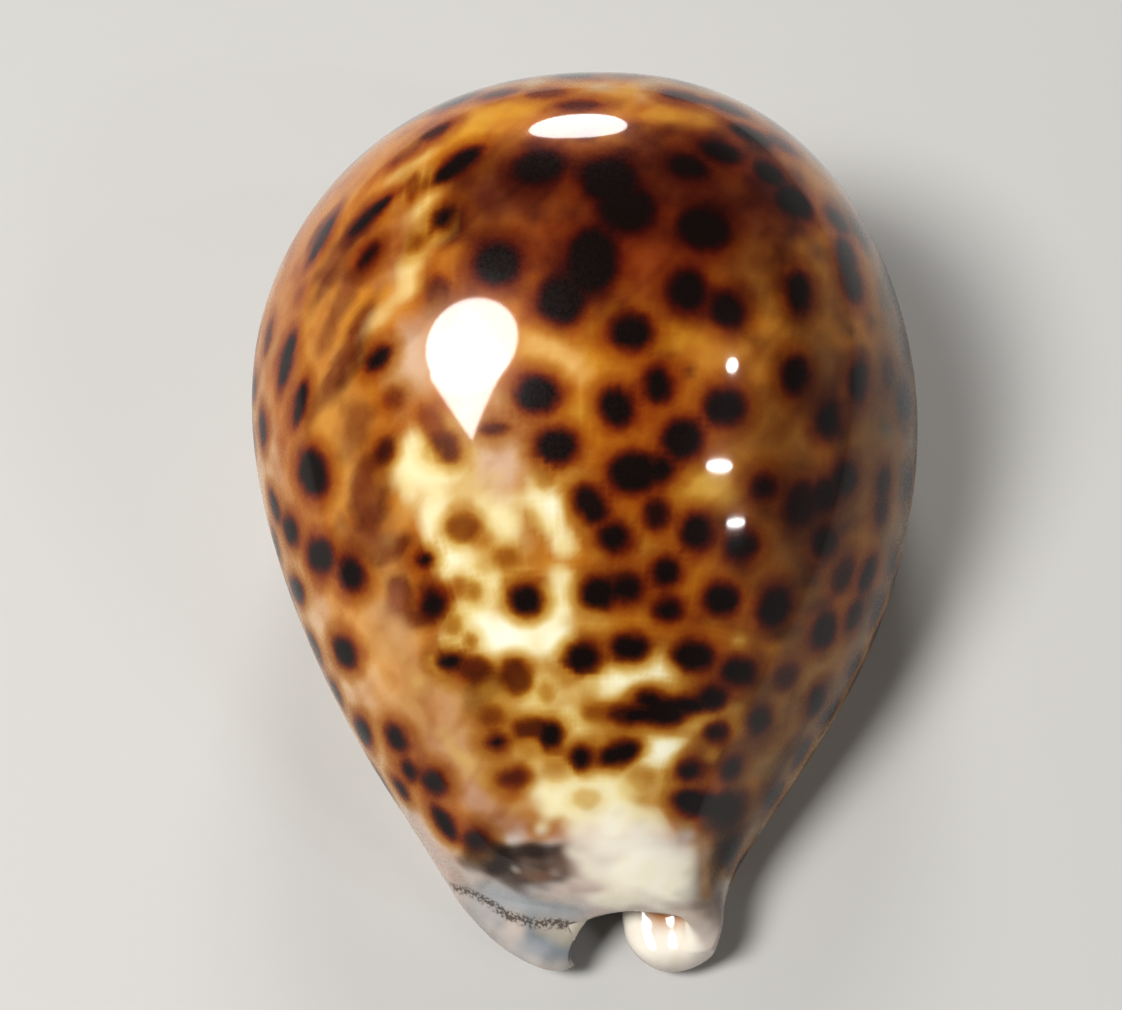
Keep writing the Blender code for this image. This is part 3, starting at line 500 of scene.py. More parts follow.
def lip_angles(sizes, station):
    """The angles at which a section's bottom stops at the left lip and at the right lip.

    Each is where the section comes within a lip's rounding of the slit, found by repeating
    angle = arctan(sideways distance / height below the girth).
    """
    edge = profile(SLIT_HALF_WIDTH, station) + LIP_ROUNDING
    centre = profile(sizes["centre"], station) - profile(SLIT_CENTRE, station)
    left_reach = np.clip(centre + edge, 0.0, MOST_LIP_REACH * profile(sizes["left"], station))
    right_reach = np.clip(edge - centre, 0.0, MOST_LIP_REACH * profile(sizes["right"], station))
    left = np.full_like(station, 0.5)
    right = np.full_like(station, 0.5)
    for _ in range(LIP_REPEATS):
        left = np.arctan2(left_reach, section(sizes, station, left)[0] * np.cos(left))
        right = np.arctan2(right_reach, section(sizes, station, -right)[0] * np.cos(right))
    return left, 2.0 * np.pi - right


def arc(sizes, station, y, columns, fold):
    """A sheet's part between the lips, as points of the sections at even steps of the angle.

    fold is how far it rises beside the right lip, between the ends of the shell.
    """
    left_lip, right_lip = lip_angles(sizes, station)
    angle = left_lip + (right_lip - left_lip) * np.linspace(0.0, 1.0, columns)[None, :]
    radius, centre, girth = section(sizes, station, angle)
    middle = smooth_step(station, *FOLD_STARTS) * (1.0 - smooth_step(station, *FOLD_ENDS))
    before, full = FOLD_ANGLES
    radius = radius - fold * middle * smooth_step(angle, right_lip - before, right_lip - full)
    x = centre - radius * np.sin(angle)
    z = girth - radius * np.cos(angle)
    return np.stack([x, np.broadcast_to(y, x.shape), z], axis=-1)


def quarter_circle(distance, radius):
    """Rises from 0 to 1 over the radius along a quarter of a circle."""
    return np.sqrt(1.0 - np.clip(1.0 - distance / radius, 0.0, 1.0) ** 2)


def close_rims(outer, inner, to_end):
    """Both sheets close in at the ends, along quarters of circles, on a line inside the wall."""
    wall = outer - inner
    thickness = np.linalg.norm(wall, axis=-1, keepdims=True)
    inner_rounding = np.minimum(0.5 * thickness, RIM_ROUNDING)
    outer_rounding = thickness - inner_rounding
    rim = inner + wall * inner_rounding / thickness
    to_end = to_end[..., None]
    outer = rim + (outer - rim) * quarter_circle(to_end, outer_rounding)
    inner = rim + (inner - rim) * quarter_circle(to_end, inner_rounding)
    return outer, inner


def half_lip(sheet, other, column, edge, along, closing):
    """Half of a lip on one sheet: a cubic Bezier curve from the tip, at x = edge, to its arc.

    It leaves the tip straight up or down and meets the arc along the arc's own end.
    """
    end = sheet[:, column, None]
    beside = sheet[:, 1 if column == 0 else -2, None]
    tip = 0.5 * (end + other[:, column, None])
    tip[..., 0] += (edge - tip[..., 0]) * closing
    leaving = (end - beside) / np.maximum(np.linalg.norm(end - beside, axis=-1, keepdims=True), 1e-9)
    reach = np.abs(end[..., 0:1] - tip[..., 0:1])
    rise = (end - tip) * (0.0, 0.0, 1.0)
    weights = ((1 - along) ** 3, 3 * along * (1 - along) ** 2, 3 * along**2 * (1 - along), along**3)
    handles = (tip, tip + LIP_FULLNESS * rise, end + LIP_FULLNESS * reach * leaving, end)
    return sum(weight[None, :, None] * handle for weight, handle in zip(weights, handles))


def with_lips(sheet, other, station, to_end, lip_columns):
    """A sheet's arc with its half of each lip. The lips draw in at the ends of the shell."""
    slit = profile(SLIT_CENTRE, station)
    half = profile(SLIT_HALF_WIDTH, station)
    along = np.linspace(0.0, 1.0, lip_columns + 1)[:-1]
    closing = quarter_circle(to_end, LIP_ROUNDING)
    left = half_lip(sheet, other, 0, slit - half, along, closing)
    right = half_lip(sheet, other, -1, slit + half, along, closing)
    return np.concatenate([left, sheet, right[:, ::-1]], axis=1)


def set_back(points, station, notch, from_end):
    """How far points near one end stand back from it. Each lobe is round seen from above."""
    aside = points[..., 0] - profile(SLIT_CENTRE, station)
    height = points[..., 2] - profile(OUTSIDE["bottom"], station)
    arch = smooth_step(height, *NOTCH_HEIGHTS)
    inside = np.clip((LOBE_CENTRE - np.abs(aside)) / LOBE_CORNER, 0.0, 1.0)
    corner = CORNER_SET_BACK * (1.0 - np.sqrt(1.0 - inside**2)) * np.exp(-from_end / CORNER_REACH)
    shoulder = RIGHT_LOBE_SET_BACK * smooth_step(aside, -LOBE_CENTRE, LOBE_CENTRE)
    shoulder = shoulder + SHOULDER_SET_BACK * smooth_step(aside, LOBE_CENTRE, SHOULDER_END)
    reach = np.exp(-from_end / NOTCH_REACH)
    return corner * (1.0 - arch) + np.maximum(shoulder, notch * arch) * reach


def sheets(station_count, arc_columns, lip_columns):
    """The outer and the inner sheet, each of stations by columns by 3, in metres.

    Columns run from the tip of the left lip round the left side, the top and the right side to
    the tip of the right lip. Both sheets meet along these two tips and along both rims.
    """
    station = np.linspace(0.0, 1.0, station_count)[:, None]
    y = -0.5 * LENGTH * np.cos(np.pi * station)
    from_front = y + 0.5 * LENGTH
    from_back = 0.5 * LENGTH - y
    to_end = np.minimum(from_front, from_back)
    outer = arc(OUTSIDE, station, y, arc_columns, 0.0)
    inner = arc(HOLLOW, station, y, arc_columns, FOLD_RISE)
    outer, inner = close_rims(outer, inner, to_end)
    outer, inner = (
        with_lips(outer, inner, station, to_end, lip_columns),
        with_lips(inner, outer, station, to_end, lip_columns),
    )
    for sheet in (outer, inner):
        front = set_back(sheet, station, FRONT_NOTCH, from_front)
        back = set_back(sheet, station, BACK_NOTCH, from_back)
        sheet[..., 1] += front - back
    return outer, inner


def inward(sheet):
    """Unit normals of a sheet, out of its steps along and across. The outer sheet's point in."""
    normal = np.cross(np.gradient(sheet, axis=0), np.gradient(sheet, axis=1))
    return normal / np.maximum(np.linalg.norm(normal, axis=-1, keepdims=True), 1e-12)


def travelled(sheet, axis):
    """How far along one of a sheet's axes its points are from the first, along the sheet."""
    steps = np.linalg.norm(np.diff(sheet, axis=axis), axis=-1)
    start = np.zeros_like(np.take(steps, [0], axis=axis))
    return np.concatenate([start, np.cumsum(steps, axis=axis)], axis=axis)


def grooves(sheet, to_end, left_reach, right_reach):
    """How deep the grooves between the teeth are: a raised cosine along Y, to a power, on each lip.

    The left lip's grooves face the right lip's teeth. They fade out with the reach from a tip.
    """
    travel = travelled(sheet, 1)
    left = 1.0 - smooth_step(travel, *left_reach)
    right = 1.0 - smooth_step(travel[:, -1:] - travel, *right_reach)
    turn = 2.0 * np.pi * sheet[..., 1] / TOOTH_PITCH
    left_wave = left * (0.5 + 0.5 * np.cos(turn)) ** GROOVE_SHARPNESS
    right_wave = right * (0.5 - 0.5 * np.cos(turn)) ** GROOVE_SHARPNESS
    return GROOVE_DEPTH * (left_wave + right_wave) * smooth_step(to_end, *TOOTH_FADE)


def spire_knob(sheet, to_end):
    """A bell-shaped rise round the spire, which leaves the rims where they are."""
    distance = np.linalg.norm(sheet - np.array(SPIRE), axis=-1)
    bell = np.exp(-0.5 * (distance / SPIRE_SPREAD) ** 2)
    return SPIRE_HEIGHT * bell * smooth_step(to_end, 0.0, RIM_ROUNDING)


def finished_sheets(station_count, arc_columns, lip_columns):
    """The sheets with their teeth and the spire's knob, flat where they stand, and centred."""
    outer, inner = sheets(station_count, arc_columns, lip_columns)
    y = -0.5 * LENGTH * np.cos(np.pi * np.linspace(0.0, 1.0, station_count))[:, None]
    to_end = 0.5 * LENGTH - np.abs(y)
    sink = grooves(outer, to_end, LEFT_TEETH, RIGHT_TEETH) - spire_knob(outer, to_end)
    outer = outer + inward(outer) * sink[..., None]
    inner = inner - inward(inner) * grooves(inner, to_end, INNER_TEETH, INNER_TEETH)[..., None]
    tips = 0.5 * (outer[:, [0, -1]] + inner[:, [0, -1]])
    outer[:, [0, -1]] = tips
    inner[:, [0, -1]] = tips
    outer[..., 2] = np.maximum(outer[..., 2], 0.0)
    inner[..., 2] = np.maximum(inner[..., 2], 0.0)
    middle = 0.5 * (outer.min(axis=(0, 1)) + outer.max(axis=(0, 1))) * (1.0, 1.0, 0.0)
    return outer - middle, inner - middle


def fitted(outer, inner, box):
    """Both sheets stretched, by a hair, so that the outer one just fills the box."""
    low = outer.min(axis=(0, 1))
    high = outer.max(axis=(0, 1))
    scale = (np.array(box[1]) - np.array(box[0])) / (high - low)
    return [(sheet - low) * scale + np.array(box[0]) for sheet in (outer, inner)]


def linear(code):
    """The linear colour of a hex code such as #C8812F."""
    parts = np.array([int(code[place : place + 2], 16) for place in (1, 3, 5)]) / 255.0
    parts = np.where(parts > 0.04045, ((parts + 0.055) / 1.055) ** 2.4, parts / 12.92)
    return (*parts.tolist(), 1.0)


class Skin:
    """The outer sheet with the places, directions and distances that its marks are worked out from."""

    def __init__(self, outer):
        self.points = outer / MM
        self.along = self.points[..., 1]
        self.turn = self.turns()
        self.out = -inward(outer)
        self.far = np.full(self.along.shape, FAR)

    def turns(self):
        """Degrees round from the top at every point, which is the section's angle less half a turn."""
        station = np.linspace(0.0, 1.0, STATION_COUNT)[:, None]
        left_lip, right_lip = lip_angles(OUTSIDE, station)
        angle = left_lip + (right_lip - left_lip) * np.linspace(0.0, 1.0, ARC_COLUMNS)[None, :]
        return np.pad(np.degrees(angle) - 180.0, ((0, 0), (LIP_COLUMNS, LIP_COLUMNS)), mode="edge")

    def nearest(self, along, turn):
        """The grid indices of the point nearest to a place, with degrees counted as mm."""
        apart = (self.along - along) ** 2 + (MM_PER_DEGREE * (self.turn - turn)) ** 2
        return np.unravel_index(np.argmin(apart), apart.shape)

    def oval(self, along, turn, length, across, slant):
        """Each point's distance from an oval's middle, and that distance over the oval's own reach.

        The oval lies in the plane that touches the sheet at its middle. With u across and v along,
        turned by the slant, and w deep, the second result is the square root of
        (u / across)^2 + (v / length)^2 + (w / across)^2 / 4.
        """
        place = self.nearest(along, turn)
        out = self.out[place]
        forward = np.array((0.0, 1.0, 0.0)) - out[1] * out
        forward = forward / np.linalg.norm(forward)
        right = np.cross(forward, out)
        lean = np.radians(slant)
        offset = self.points - self.points[place]
        v = offset @ (forward * np.cos(lean) + right * np.sin(lean))
        u = offset @ (right * np.cos(lean) - forward * np.sin(lean))
        depth = offset @ out
        reach = np.sqrt((u / across) ** 2 + (v / length) ** 2 + (depth / across) ** 2 * 0.25)
        return np.linalg.norm(offset, axis=-1), reach

    def spots(self, places):
        """The distance in mm to the spots' edges, negative inside, and the nearest spots' strength.

        At r from its middle, a spot's own distance is (reach - 1) r / reach, with a hundredth
        added so that its middle has one. With k for SPOT_JOIN, they join smoothly as
        -k log(sum of exp(-distance / k)), and the strengths are averaged with the same
        exponentials as weights.
        """
        total = np.exp(-self.far / SPOT_JOIN)
        strengths = BARE_STRENGTH * total
        for along, turn, across, length, slant, strength in places:
            distance, reach = self.oval(along, turn, length, across, slant)
            edge = np.minimum((reach - 1.0) * (distance + 0.01 * across) / (reach + 0.01), FAR)
            weight = np.exp(-edge / SPOT_JOIN)
            total = total + weight
            strengths = strengths + strength * weight
        return -SPOT_JOIN * np.log(total), strengths / total

    def ripple(self):
        """Smooth noise of about -1 to 1: the sum of sine waves of many lengths and directions."""
        rng = np.random.default_rng(RIPPLE_SEED)
        directions = rng.normal(size=(RIPPLE_COUNT, 3))
        directions = directions / np.linalg.norm(directions, axis=1, keepdims=True)
        lengths = np.geomspace(*RIPPLE_LENGTHS, RIPPLE_COUNT)
        phases = rng.uniform(0.0, 2.0 * np.pi, RIPPLE_COUNT)
        waves = np.zeros(self.along.shape)
        for direction, length, phase in zip(directions, lengths, phases):
            waves = waves + np.sin(2.0 * np.pi / length * (self.points @ direction) + phase)
        return waves / np.sqrt(RIPPLE_COUNT)

    def paint(self, colour, washes):
        """The colour with washes laid over it, stroke by stroke.

        A stroke covers its weight out to where its reach is 1 less the softness, and nothing from
        1 plus the softness on. Ripples stretch the reach, so that no edge is an even oval.
        """
        stretch = 1.0 + RIPPLE_PUSH * self.ripple()
        for code, softness, strokes in washes:
            wash = np.array(linear(code)[:3])
            for along, turn, length, across, slant, weight in strokes:
                reach = self.oval(along, turn, length, across, slant)[1] * stretch
                cover = weight * (1.0 - smooth_step(reach, 1.0 - softness, 1.0 + softness))
                colour = colour + (wash - colour) * cover[..., None]
        return colour

    def near_line(self, corners, width):
        """A ridge of 1 on a line through corners in mm, which falls to a half at its width."""
        corners = np.asarray(corners)
        apart = np.full(self.along.shape, np.inf)
        for start, end in zip(corners[:-1], corners[1:]):
            step = end - start
            share = np.clip((self.points - start) @ step / (step @ step), 0.0, 1.0)
            nearest = start + share[..., None] * step
            apart = np.minimum(apart, np.linalg.norm(self.points - nearest, axis=-1))
        return 0.5 ** ((apart / width) ** 2)

    def hidden(self):
        """1 on the sides and the far end, where the spots are scattered."""
        left = (self.turn < SCATTER_LEFT) & (self.along > SCATTER_FRONT[0])
        right = self.turn > SCATTER_RIGHT - SCATTER_LEAN * np.maximum(self.along, 0.0)
        back = self.along > SCATTER_BACK + SCATTER_BOW * np.cos(np.radians(self.turn))
        upper = (np.abs(self.turn) < SCATTER_LOWEST) & (self.along > SCATTER_FRONT[1])
        return (left | right | back) & upper

    def scattered(self, taken):
        """Spots for the sides and the far end, none nearer than SCATTER_APART to another.

        Candidates are drawn by area, and each is kept if it stands clear of all spots so far. They
        fade towards the base, as the glaze thickens over them.
        """
        rng = np.random.default_rng(SCATTER_SEED)
        along_step = np.linalg.norm(np.gradient(self.points, axis=0), axis=-1)
        across_step = np.linalg.norm(np.gradient(self.points, axis=1), axis=-1)
        chance = (along_step * across_step * self.hidden()).ravel()
        drawn = rng.choice(chance.size, SCATTER_TRIES, p=chance / chance.sum())
        sizes = rng.uniform(*SCATTER_SIZE, (SCATTER_TRIES, 2))
        slants = rng.uniform(-SCATTER_SLANT, SCATTER_SLANT, SCATTER_TRIES)
        kept = [self.points[self.nearest(*spot[:2])] for spot in taken]
        found = []
        for index, (across, length), slant in zip(drawn, sizes, slants):
            place = np.unravel_index(index, self.along.shape)
            point = self.points[place]
            if np.min(np.linalg.norm(np.array(kept) - point, axis=1)) < SCATTER_APART:
                continue
            kept.append(point)
            turn = self.turn[place]
            strength = SCATTER_STRENGTH - SCATTER_WEAKENS * smooth_step(abs(turn), *SCATTER_FADE)
            found.append((self.along[place], turn, across, length, slant, strength))
        return found


def blend(colour, code, share):
    """A colour field with another colour mixed in by a share from 0 to 1 at each point."""
    return colour + (np.array(linear(code)[:3]) - colour) * share[..., None]


def ground_colours(skin):
    """The colours under the spots: the washes, some partly painted shade or a painted reflection, then
    the margins, the white base and the front.
    """
    colour = np.zeros(skin.points.shape) + linear(GROUND_COLOUR)[:3]
    colour = skin.paint(colour, WASHES)
    ragged = RAGGED_DEGREES * skin.ripple()
    right = skin.turn + ragged
    for code, share, place, margin in (
        (BACK_RIM_COLOUR, 0.85, skin.along + 0.3 * ragged, BACK_MARGIN),
        (LEFT_RIM_COLOUR, 0.85, -skin.turn + ragged, LEFT_MARGIN),
        # The right rim's colour is partly painted shade.
        (RIGHT_RIM_AND_SHADE_COLOUR, 0.9, right + 0.6 * np.clip(skin.along, -10.0, 20.0), RIGHT_MARGIN),
        (LEFT_RIM_COLOUR, 0.6, right, RIGHT_BASE_MARGIN),
        (PORCELAIN_COLOUR, 1.0, np.abs(skin.turn) + ragged, BASE_MARGIN),
        (FRONT_COLOUR, 0.9, 0.2 * ragged - skin.along, FRONT_MARGIN),
    ):
        colour = blend(colour, code, share * smooth_step(place, *margin))
    colour = skin.paint(colour, FRONT_WASHES)
    colour = blend(colour, SLATE_COLOUR, 0.85 * skin.near_line(SLATE_BAND, SLATE_WIDTH))
    return blend(colour, STREAK_COLOUR, 0.9 * skin.near_line(CANAL_STREAK, STREAK_WIDTH))


def wall_faces(stations, columns):
    """The faces of the closed wall as point numbers: the outer quads, then the inner ones.

    The outer sheet's points come first. The inner sheet takes every second column, and its edge
    points are the outer sheet's own. At each rim its faces take in the outer point between two
    of theirs, which gives them five sides.
    """
    outer = np.arange(stations * columns).reshape(stations, columns)
    inner = outer[:, ::2].copy()
    inner[1:-1, 1:-1] = outer.size + np.arange(inner[1:-1, 1:-1].size).reshape(inner[1:-1, 1:-1].shape)
    quads = np.stack([outer[:-1, :-1], outer[:-1, 1:], outer[1:, 1:], outer[1:, :-1]], axis=-1)
    middle = inner[1:-1]
    inner_quads = np.stack([middle[:-1, :-1], middle[1:, :-1], middle[1:, 1:], middle[:-1, 1:]], axis=-1)
    between = outer[:, 1::2]
    front = (inner[0, :-1], inner[1, :-1], inner[1, 1:], inner[0, 1:], between[0])
    back = (inner[-1, 1:], inner[-2, 1:], inner[-2, :-1], inner[-1, :-1], between[-1])
    faces = quads.reshape(-1, 4).tolist() + inner_quads.reshape(-1, 4).tolist()
    return faces + np.stack(front, axis=-1).tolist() + np.stack(back, axis=-1).tolist()


def lining_depth(inner):
    """How far in a point of the inner sheet is: 0 near the lips and the rims, 1 in the hollow."""
    across = travelled(inner, 1)
    from_lips = np.minimum(across, across[:, -1:] - across)
    along = travelled(inner, 0)
    from_rims = np.minimum(along, along[-1:] - along)
    return smooth_step(from_lips, *LIP_LINING) * smooth_step(from_rims, *RIM_LINING)


def lining_colours(ground, inner):
    """Porcelain, which starts from the outer sheet's own colour at the front rim."""
    tint = 1.0 - smooth_step(travelled(inner, 0), 0.0, RIM_TINT)
    porcelain = np.array(linear(PORCELAIN_COLOUR)[:3])
    return porcelain + (ground[:1] - porcelain) * tint[..., None]


def add_field(mesh, name, outer_values, lining_values):
    """Puts a field of the outer sheet, and its values on the lining, on the mesh's points."""
    values = np.concatenate([outer_values.ravel(), lining_values]).astype(np.float32)
    mesh.attributes.new(name, "FLOAT", "POINT").data.foreach_set("value", values)


def shell_piece():
    """The shell as one closed mesh, with its marks as attributes of its points."""
    outer, inner = finished_sheets(STATION_COUNT, ARC_COLUMNS, LIP_COLUMNS)
    skin = Skin(outer)
    distance, strength = skin.spots(SPOTS + tuple(skin.scattered(SPOTS)))
    pitted = skin.near_line(PITTED_LINE, PIT_WIDTH)
    ground = ground_colours(skin)
    pale = smooth_step(ground[..., 1], *PALE_GREENS)
    tightened = distance + PALE_TIGHTENS * pale * np.maximum(distance, 0.0)
    sink = PIT_DEPTH * MM * pitted
    outer = outer - skin.out * sink[..., None]
    outer, inner = fitted(outer, inner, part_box("shell"))
    depth = lining_depth(inner)[1:-1, 2:-2:2].ravel()
    lining = inner[1:-1, 2:-2:2].reshape(-1, 3)
    points = np.concatenate([outer.reshape(-1, 3), lining])
    mesh = bpy.data.meshes.new("cowrie")
    mesh.from_pydata(points.tolist(), [], wall_faces(*outer.shape[:2]))
    nothing = np.zeros(len(lining))
    add_field(mesh, "spot", tightened, nothing + FAR)
    add_field(mesh, "strength", strength, nothing)
    add_field(mesh, "pitted", pitted, nothing)
    add_field(mesh, "inside", np.zeros(pitted.shape), depth)
    add_field(mesh, "gloss", 1.0 - DULLING * smooth_step(np.abs(skin.turn), *DULL_MARGIN), nothing + 1.0)
    lined = lining_colours(ground, inner)[1:-1, 2:-2:2].reshape(-1, 3)
    tinted = np.concatenate([ground.reshape(-1, 3), lined])
    tinted = np.concatenate([tinted, np.ones((len(tinted), 1))], axis=1).astype(np.float32)
    mesh.attributes.new("ground", "FLOAT_COLOR", "POINT").data.foreach_set("color", tinted.ravel())
    mesh.shade_smooth()
    return in_scene("cowrie", mesh)


class Finish:
    """A material in the making. Each method adds a node and gives back its output."""

    def __init__(self, name):
        self.material = bpy.data.materials.new(name)
        self.material.use_nodes = True
        self.tree = self.material.node_tree
        self.surface = self.tree.nodes["Principled BSDF"]

    def put(self, socket, value):
        """Links a socket to an output, or sets it to a number or a colour."""
        if isinstance(value, bpy.types.NodeSocket):
            self.tree.links.new(value, socket)
        else:
            socket.default_value = value

    def field(self, name, output="Fac"):
        """An attribute of the mesh, as a number or as a colour."""
        node = self.tree.nodes.new("ShaderNodeAttribute")
        node.attribute_name = name
        return node.outputs[output]

    def noise(self, scale, detail=2.0, vector=None):
        """Soft noise of about 1 / scale metres, from 0 to 1, over the object's own space or a vector."""
        if vector is None:
            vector = self.tree.nodes.new("ShaderNodeTexCoord").outputs["Object"]
        node = self.tree.nodes.new("ShaderNodeTexNoise")
        self.put(node.inputs["Vector"], vector)
        self.put(node.inputs["Scale"], scale)
        self.put(node.inputs["Detail"], detail)
        return node.outputs["Fac"]

    def turned(self, vector, angle, scale):
        """A vector turned about Z, in degrees, and then scaled."""
        node = self.tree.nodes.new("ShaderNodeMapping")
        node.vector_type = "TEXTURE"
        self.put(node.inputs["Vector"], vector)
        node.inputs["Rotation"].default_value = (0.0, 0.0, np.radians(angle))
        node.inputs["Scale"].default_value = scale
        return node.outputs["Vector"]

    def math(self, operation, *values):
        """One step of arithmetic on numbers or outputs."""
        node = self.tree.nodes.new("ShaderNodeMath")
        node.operation = operation
        for socket, value in zip(node.inputs, values):
            self.put(socket, value)
        return node.outputs["Value"]

    def ragged(self, value, *noises):
        """A value with noises added, each given as (noise, how far it pushes up or down)."""
        for noise, push in noises:
            value = self.math("MULTIPLY_ADD", self.math("SUBTRACT", noise, 0.5), 2.0 * push, value)
        return value

    def rise(self, value, low, high, least=0.0, most=1.0):
        """A smooth step of a value, from least at low to most at high."""
        node = self.tree.nodes.new("ShaderNodeMapRange")
        node.interpolation_type = "SMOOTHSTEP"
        for name, number in (("Value", value), ("From Min", low), ("From Max", high)):
            self.put(node.inputs[name], number)
        self.put(node.inputs["To Min"], least)
        self.put(node.inputs["To Max"], most)
        return node.outputs["Result"]

    def mix(self, factor, under, over, blend_type="MIX"):
        """The colour over laid on the colour under. Either may be a hex code."""
        node = self.tree.nodes.new("ShaderNodeMix")
        node.data_type = "RGBA"
        node.blend_type = blend_type
        self.put(node.inputs["Factor"], factor)
        slots = [socket for socket in node.inputs if socket.type == "RGBA"]
        for socket, colour in zip(slots, (under, over)):
            self.put(socket, linear(colour) if isinstance(colour, str) else colour)
        return next(socket for socket in node.outputs if socket.type == "RGBA")

    def multiply(self, colour, tint):
        """A colour filtered through a tint."""
        return self.mix(1.0, colour, tint, "MULTIPLY")

    def power(self, colour, exponent):
        """A colour raised to a power, which deepens or lightens it and leaves white alone."""
        node = self.tree.nodes.new("ShaderNodeGamma")
        self.put(node.inputs["Color"], linear(colour) if isinstance(colour, str) else colour)
        self.put(node.inputs["Gamma"], exponent)
        return node.outputs["Color"]


def glazed_ground(finish, blotch, streak):
    """The washes with soft blotches and slanting streaks, some darker and some lighter."""
    colour = finish.field("ground", "Color")
    shade = finish.power(colour, DEEPENED)
    light = finish.power(colour, LIGHTENED)
    colour = finish.mix(finish.rise(streak, 0.5, 0.75, 0.0, 0.7), colour, shade)
    colour = finish.mix(finish.rise(blotch, 0.5, 0.75, 0.0, 0.8), colour, shade)
    return finish.mix(finish.rise(blotch, 0.5, 0.25, 0.0, 0.4), colour, light)


def spotting(finish, colour, blotch, fleck, grain):
    """Spots as a dye that has soaked into the ground, with black middles where they are strong.

    The dye's colour is raised to the power of its amount, so the ground turns from amber to
    red-brown as the amount grows towards a spot's middle.
    """
    edge = finish.ragged(finish.field("spot"), (blotch, 0.35), (fleck, 0.3), (grain, 0.04))
    strength = finish.field("strength")
    seep = finish.rise(edge, 2.6, 0.2, 0.0, 0.6)
    soaked = finish.rise(edge, 0.9, -0.5, 0.0, 1.1)
    amount = finish.math("ADD", seep, soaked)
    amount = finish.math("MULTIPLY", amount, finish.rise(strength, 0.0, 0.9))
    colour = finish.multiply(colour, finish.power(SPOT_DYE, amount))
    core = finish.math("MULTIPLY", finish.rise(edge, 0.4, -0.7), finish.rise(strength, 0.4, 0.9))
    return finish.mix(core, colour, SPOT_CORE)


def shell_material():
    """Glazed shell: the ground, spots, pits and lining under a clear gloss with faint waves."""
    finish = Finish("glazed_shell")
    place = finish.tree.nodes.new("ShaderNodeTexCoord").outputs["Object"]
    blotch = finish.noise(BLOTCHES)
    fleck = finish.noise(FLECKS)
    grain = finish.noise(GRAINS)
    streak = finish.noise(STREAKS, 1.0, finish.turned(place, -40.0, (1.0, 4.0, 2.0)))
    colour = glazed_ground(finish, blotch, streak)
    colour = spotting(finish, colour, blotch, fleck, grain)
    pitted = finish.math("MULTIPLY", finish.field("pitted"), finish.rise(grain, 0.36, 0.64, 0.42))
    colour = finish.mix(finish.rise(pitted, 0.2, 0.85, 0.0, 0.85), colour, PIT_COLOUR)
    colour = finish.mix(finish.field("inside"), colour, INSIDE_COLOUR)
    surface = finish.surface.inputs
    finish.put(surface["Base Color"], colour)
    finish.put(surface["Roughness"], finish.rise(grain, 0.3, 0.7, 0.22, 0.34))
    surface["Specular IOR Level"].default_value = UNDER_GLOSS
    finish.put(surface["Coat Weight"], finish.field("gloss"))
    surface["Coat Roughness"].default_value = GLAZE_ROUGHNESS
    surface["Coat IOR"].default_value = GLAZE_REFRACTION
    bump = finish.tree.nodes.new("ShaderNodeBump")
    bump.inputs["Strength"].default_value = 1.0
    bump.inputs["Distance"].default_value = WAVE_HEIGHT
    finish.put(bump.inputs["Height"], finish.noise(WAVES))
    finish.put(surface["Normal"], bump.outputs["Normal"])
    return finish.material


def floor_material():
    """Smooth matt board."""
    finish = Finish("floor_board")
    finish.put(finish.surface.inputs["Base Color"], linear(FLOOR_COLOUR))
    finish.put(finish.surface.inputs["Roughness"], 0.9)
    return finish.material


def make_floor():
    """A wide disc that the shell stands on."""
    turn = np.linspace(0.0, 2.0 * np.pi, FLOOR_SIDES, endpoint=False)
    rim = np.stack([np.cos(turn), np.sin(turn), np.zeros(turn.shape)], axis=-1) * FLOOR_RADIUS
    rim[:, 2] = -FLOOR_DROP
    mesh = bpy.data.meshes.new("floor")
    mesh.from_pydata(rim.tolist(), [], [list(range(len(rim)))])
    mesh.materials.append(floor_material())
    return in_scene("floor", mesh)


def in_scene(name, data):
    """A new object of the scene, at the origin."""
    made = bpy.data.objects.new(name, data)
    bpy.context.scene.collection.objects.link(made)
    return made


def aimed(place, aim, roll):
    """The matrix of something at a place that looks along its -Z to an aim, rolled in degrees."""
    look = (Vector(aim) - Vector(place)).to_track_quat("-Z", "Y").to_matrix().to_4x4()
    return Matrix.Translation(place) @ look @ Matrix.Rotation(np.radians(roll), 4, "Z")


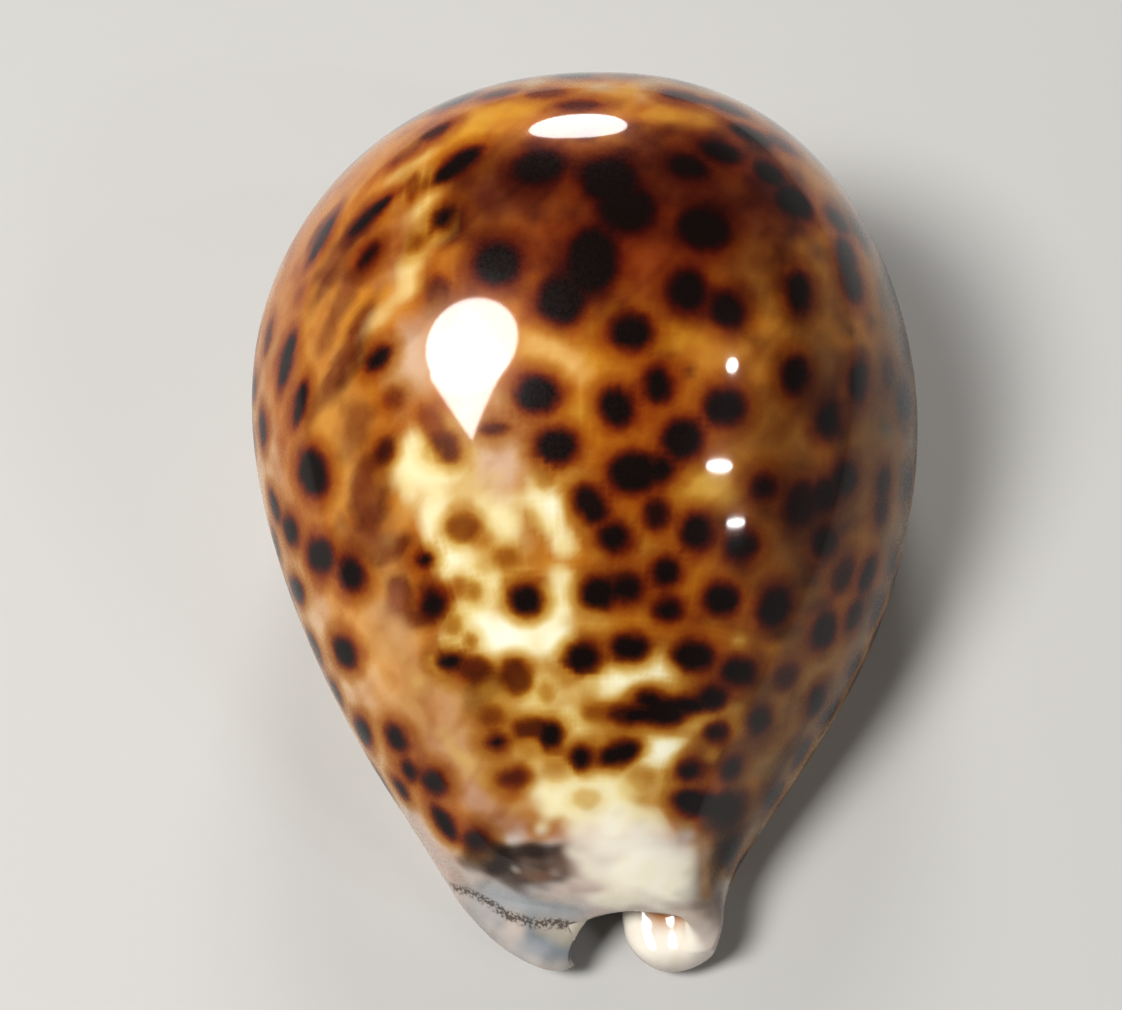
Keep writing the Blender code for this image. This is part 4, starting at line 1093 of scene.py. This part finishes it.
def make_lamps():
    """Flat lamps whose power is brightness times area times pi."""
    for name, shape, place, width, height, roll, brightness in LAMPS:
        light = bpy.data.lights.new(name, "AREA")
        light.shape = shape
        light.size = width
        light.size_y = height
        area = width * height * (ELLIPSE_SHARE if shape == "ELLIPSE" else 1.0)
        light.energy = brightness * area * np.pi
        in_scene(name, light).matrix_world = aimed(place, LAMP_AIM, roll)


def make_world():
    """A dim studio, darker overhead. A direction's Z is the sine of its height."""
    world = bpy.data.worlds.new("studio")
    world.use_nodes = True
    nodes = world.node_tree.nodes
    links = world.node_tree.links
    direction = nodes.new("ShaderNodeTexCoord").outputs["Generated"]
    height = nodes.new("ShaderNodeSeparateXYZ")
    links.new(direction, height.inputs["Vector"])
    strength = nodes.new("ShaderNodeMapRange")
    strength.interpolation_type = "SMOOTHSTEP"
    links.new(height.outputs["Z"], strength.inputs["Value"])
    strength.inputs["From Min"].default_value = WALL_TOP[0]
    strength.inputs["From Max"].default_value = WALL_TOP[1]
    strength.inputs["To Min"].default_value = WALL_BRIGHTNESS
    strength.inputs["To Max"].default_value = CEILING_BRIGHTNESS
    background = nodes["Background"]
    background.inputs["Color"].default_value = STUDIO_COLOUR
    links.new(strength.outputs["Result"], background.inputs["Strength"])
    bpy.context.scene.world = world


def make_camera():
    """A camera that looks down on the front of the shell, a little from the right."""
    azimuth = np.radians(CAMERA_AZIMUTH)
    elevation = np.radians(CAMERA_ELEVATION)
    flat = np.cos(elevation)
    back = Vector((np.sin(azimuth) * flat, -np.cos(azimuth) * flat, np.sin(elevation)))
    place = Vector(CAMERA_AIM) + back * CAMERA_DISTANCE
    data = bpy.data.cameras.new("camera")
    data.lens = CAMERA_LENS
    data.sensor_width = CAMERA_SENSOR
    data.clip_start = CAMERA_NEAREST
    camera = in_scene("camera", data)
    camera.matrix_world = aimed(place, CAMERA_AIM, CAMERA_ROLL)
    bpy.context.scene.camera = camera


def main():
    """The shell rides on the frame's only body and stands for its only node."""
    shell = shell_piece()
    shell.data.materials.append(shell_material())
    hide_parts("shell")
    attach(shell, "root")
    make_floor()
    make_lamps()
    make_world()
    make_camera()
    bpy.context.scene.view_settings.view_transform = "Standard"


main()
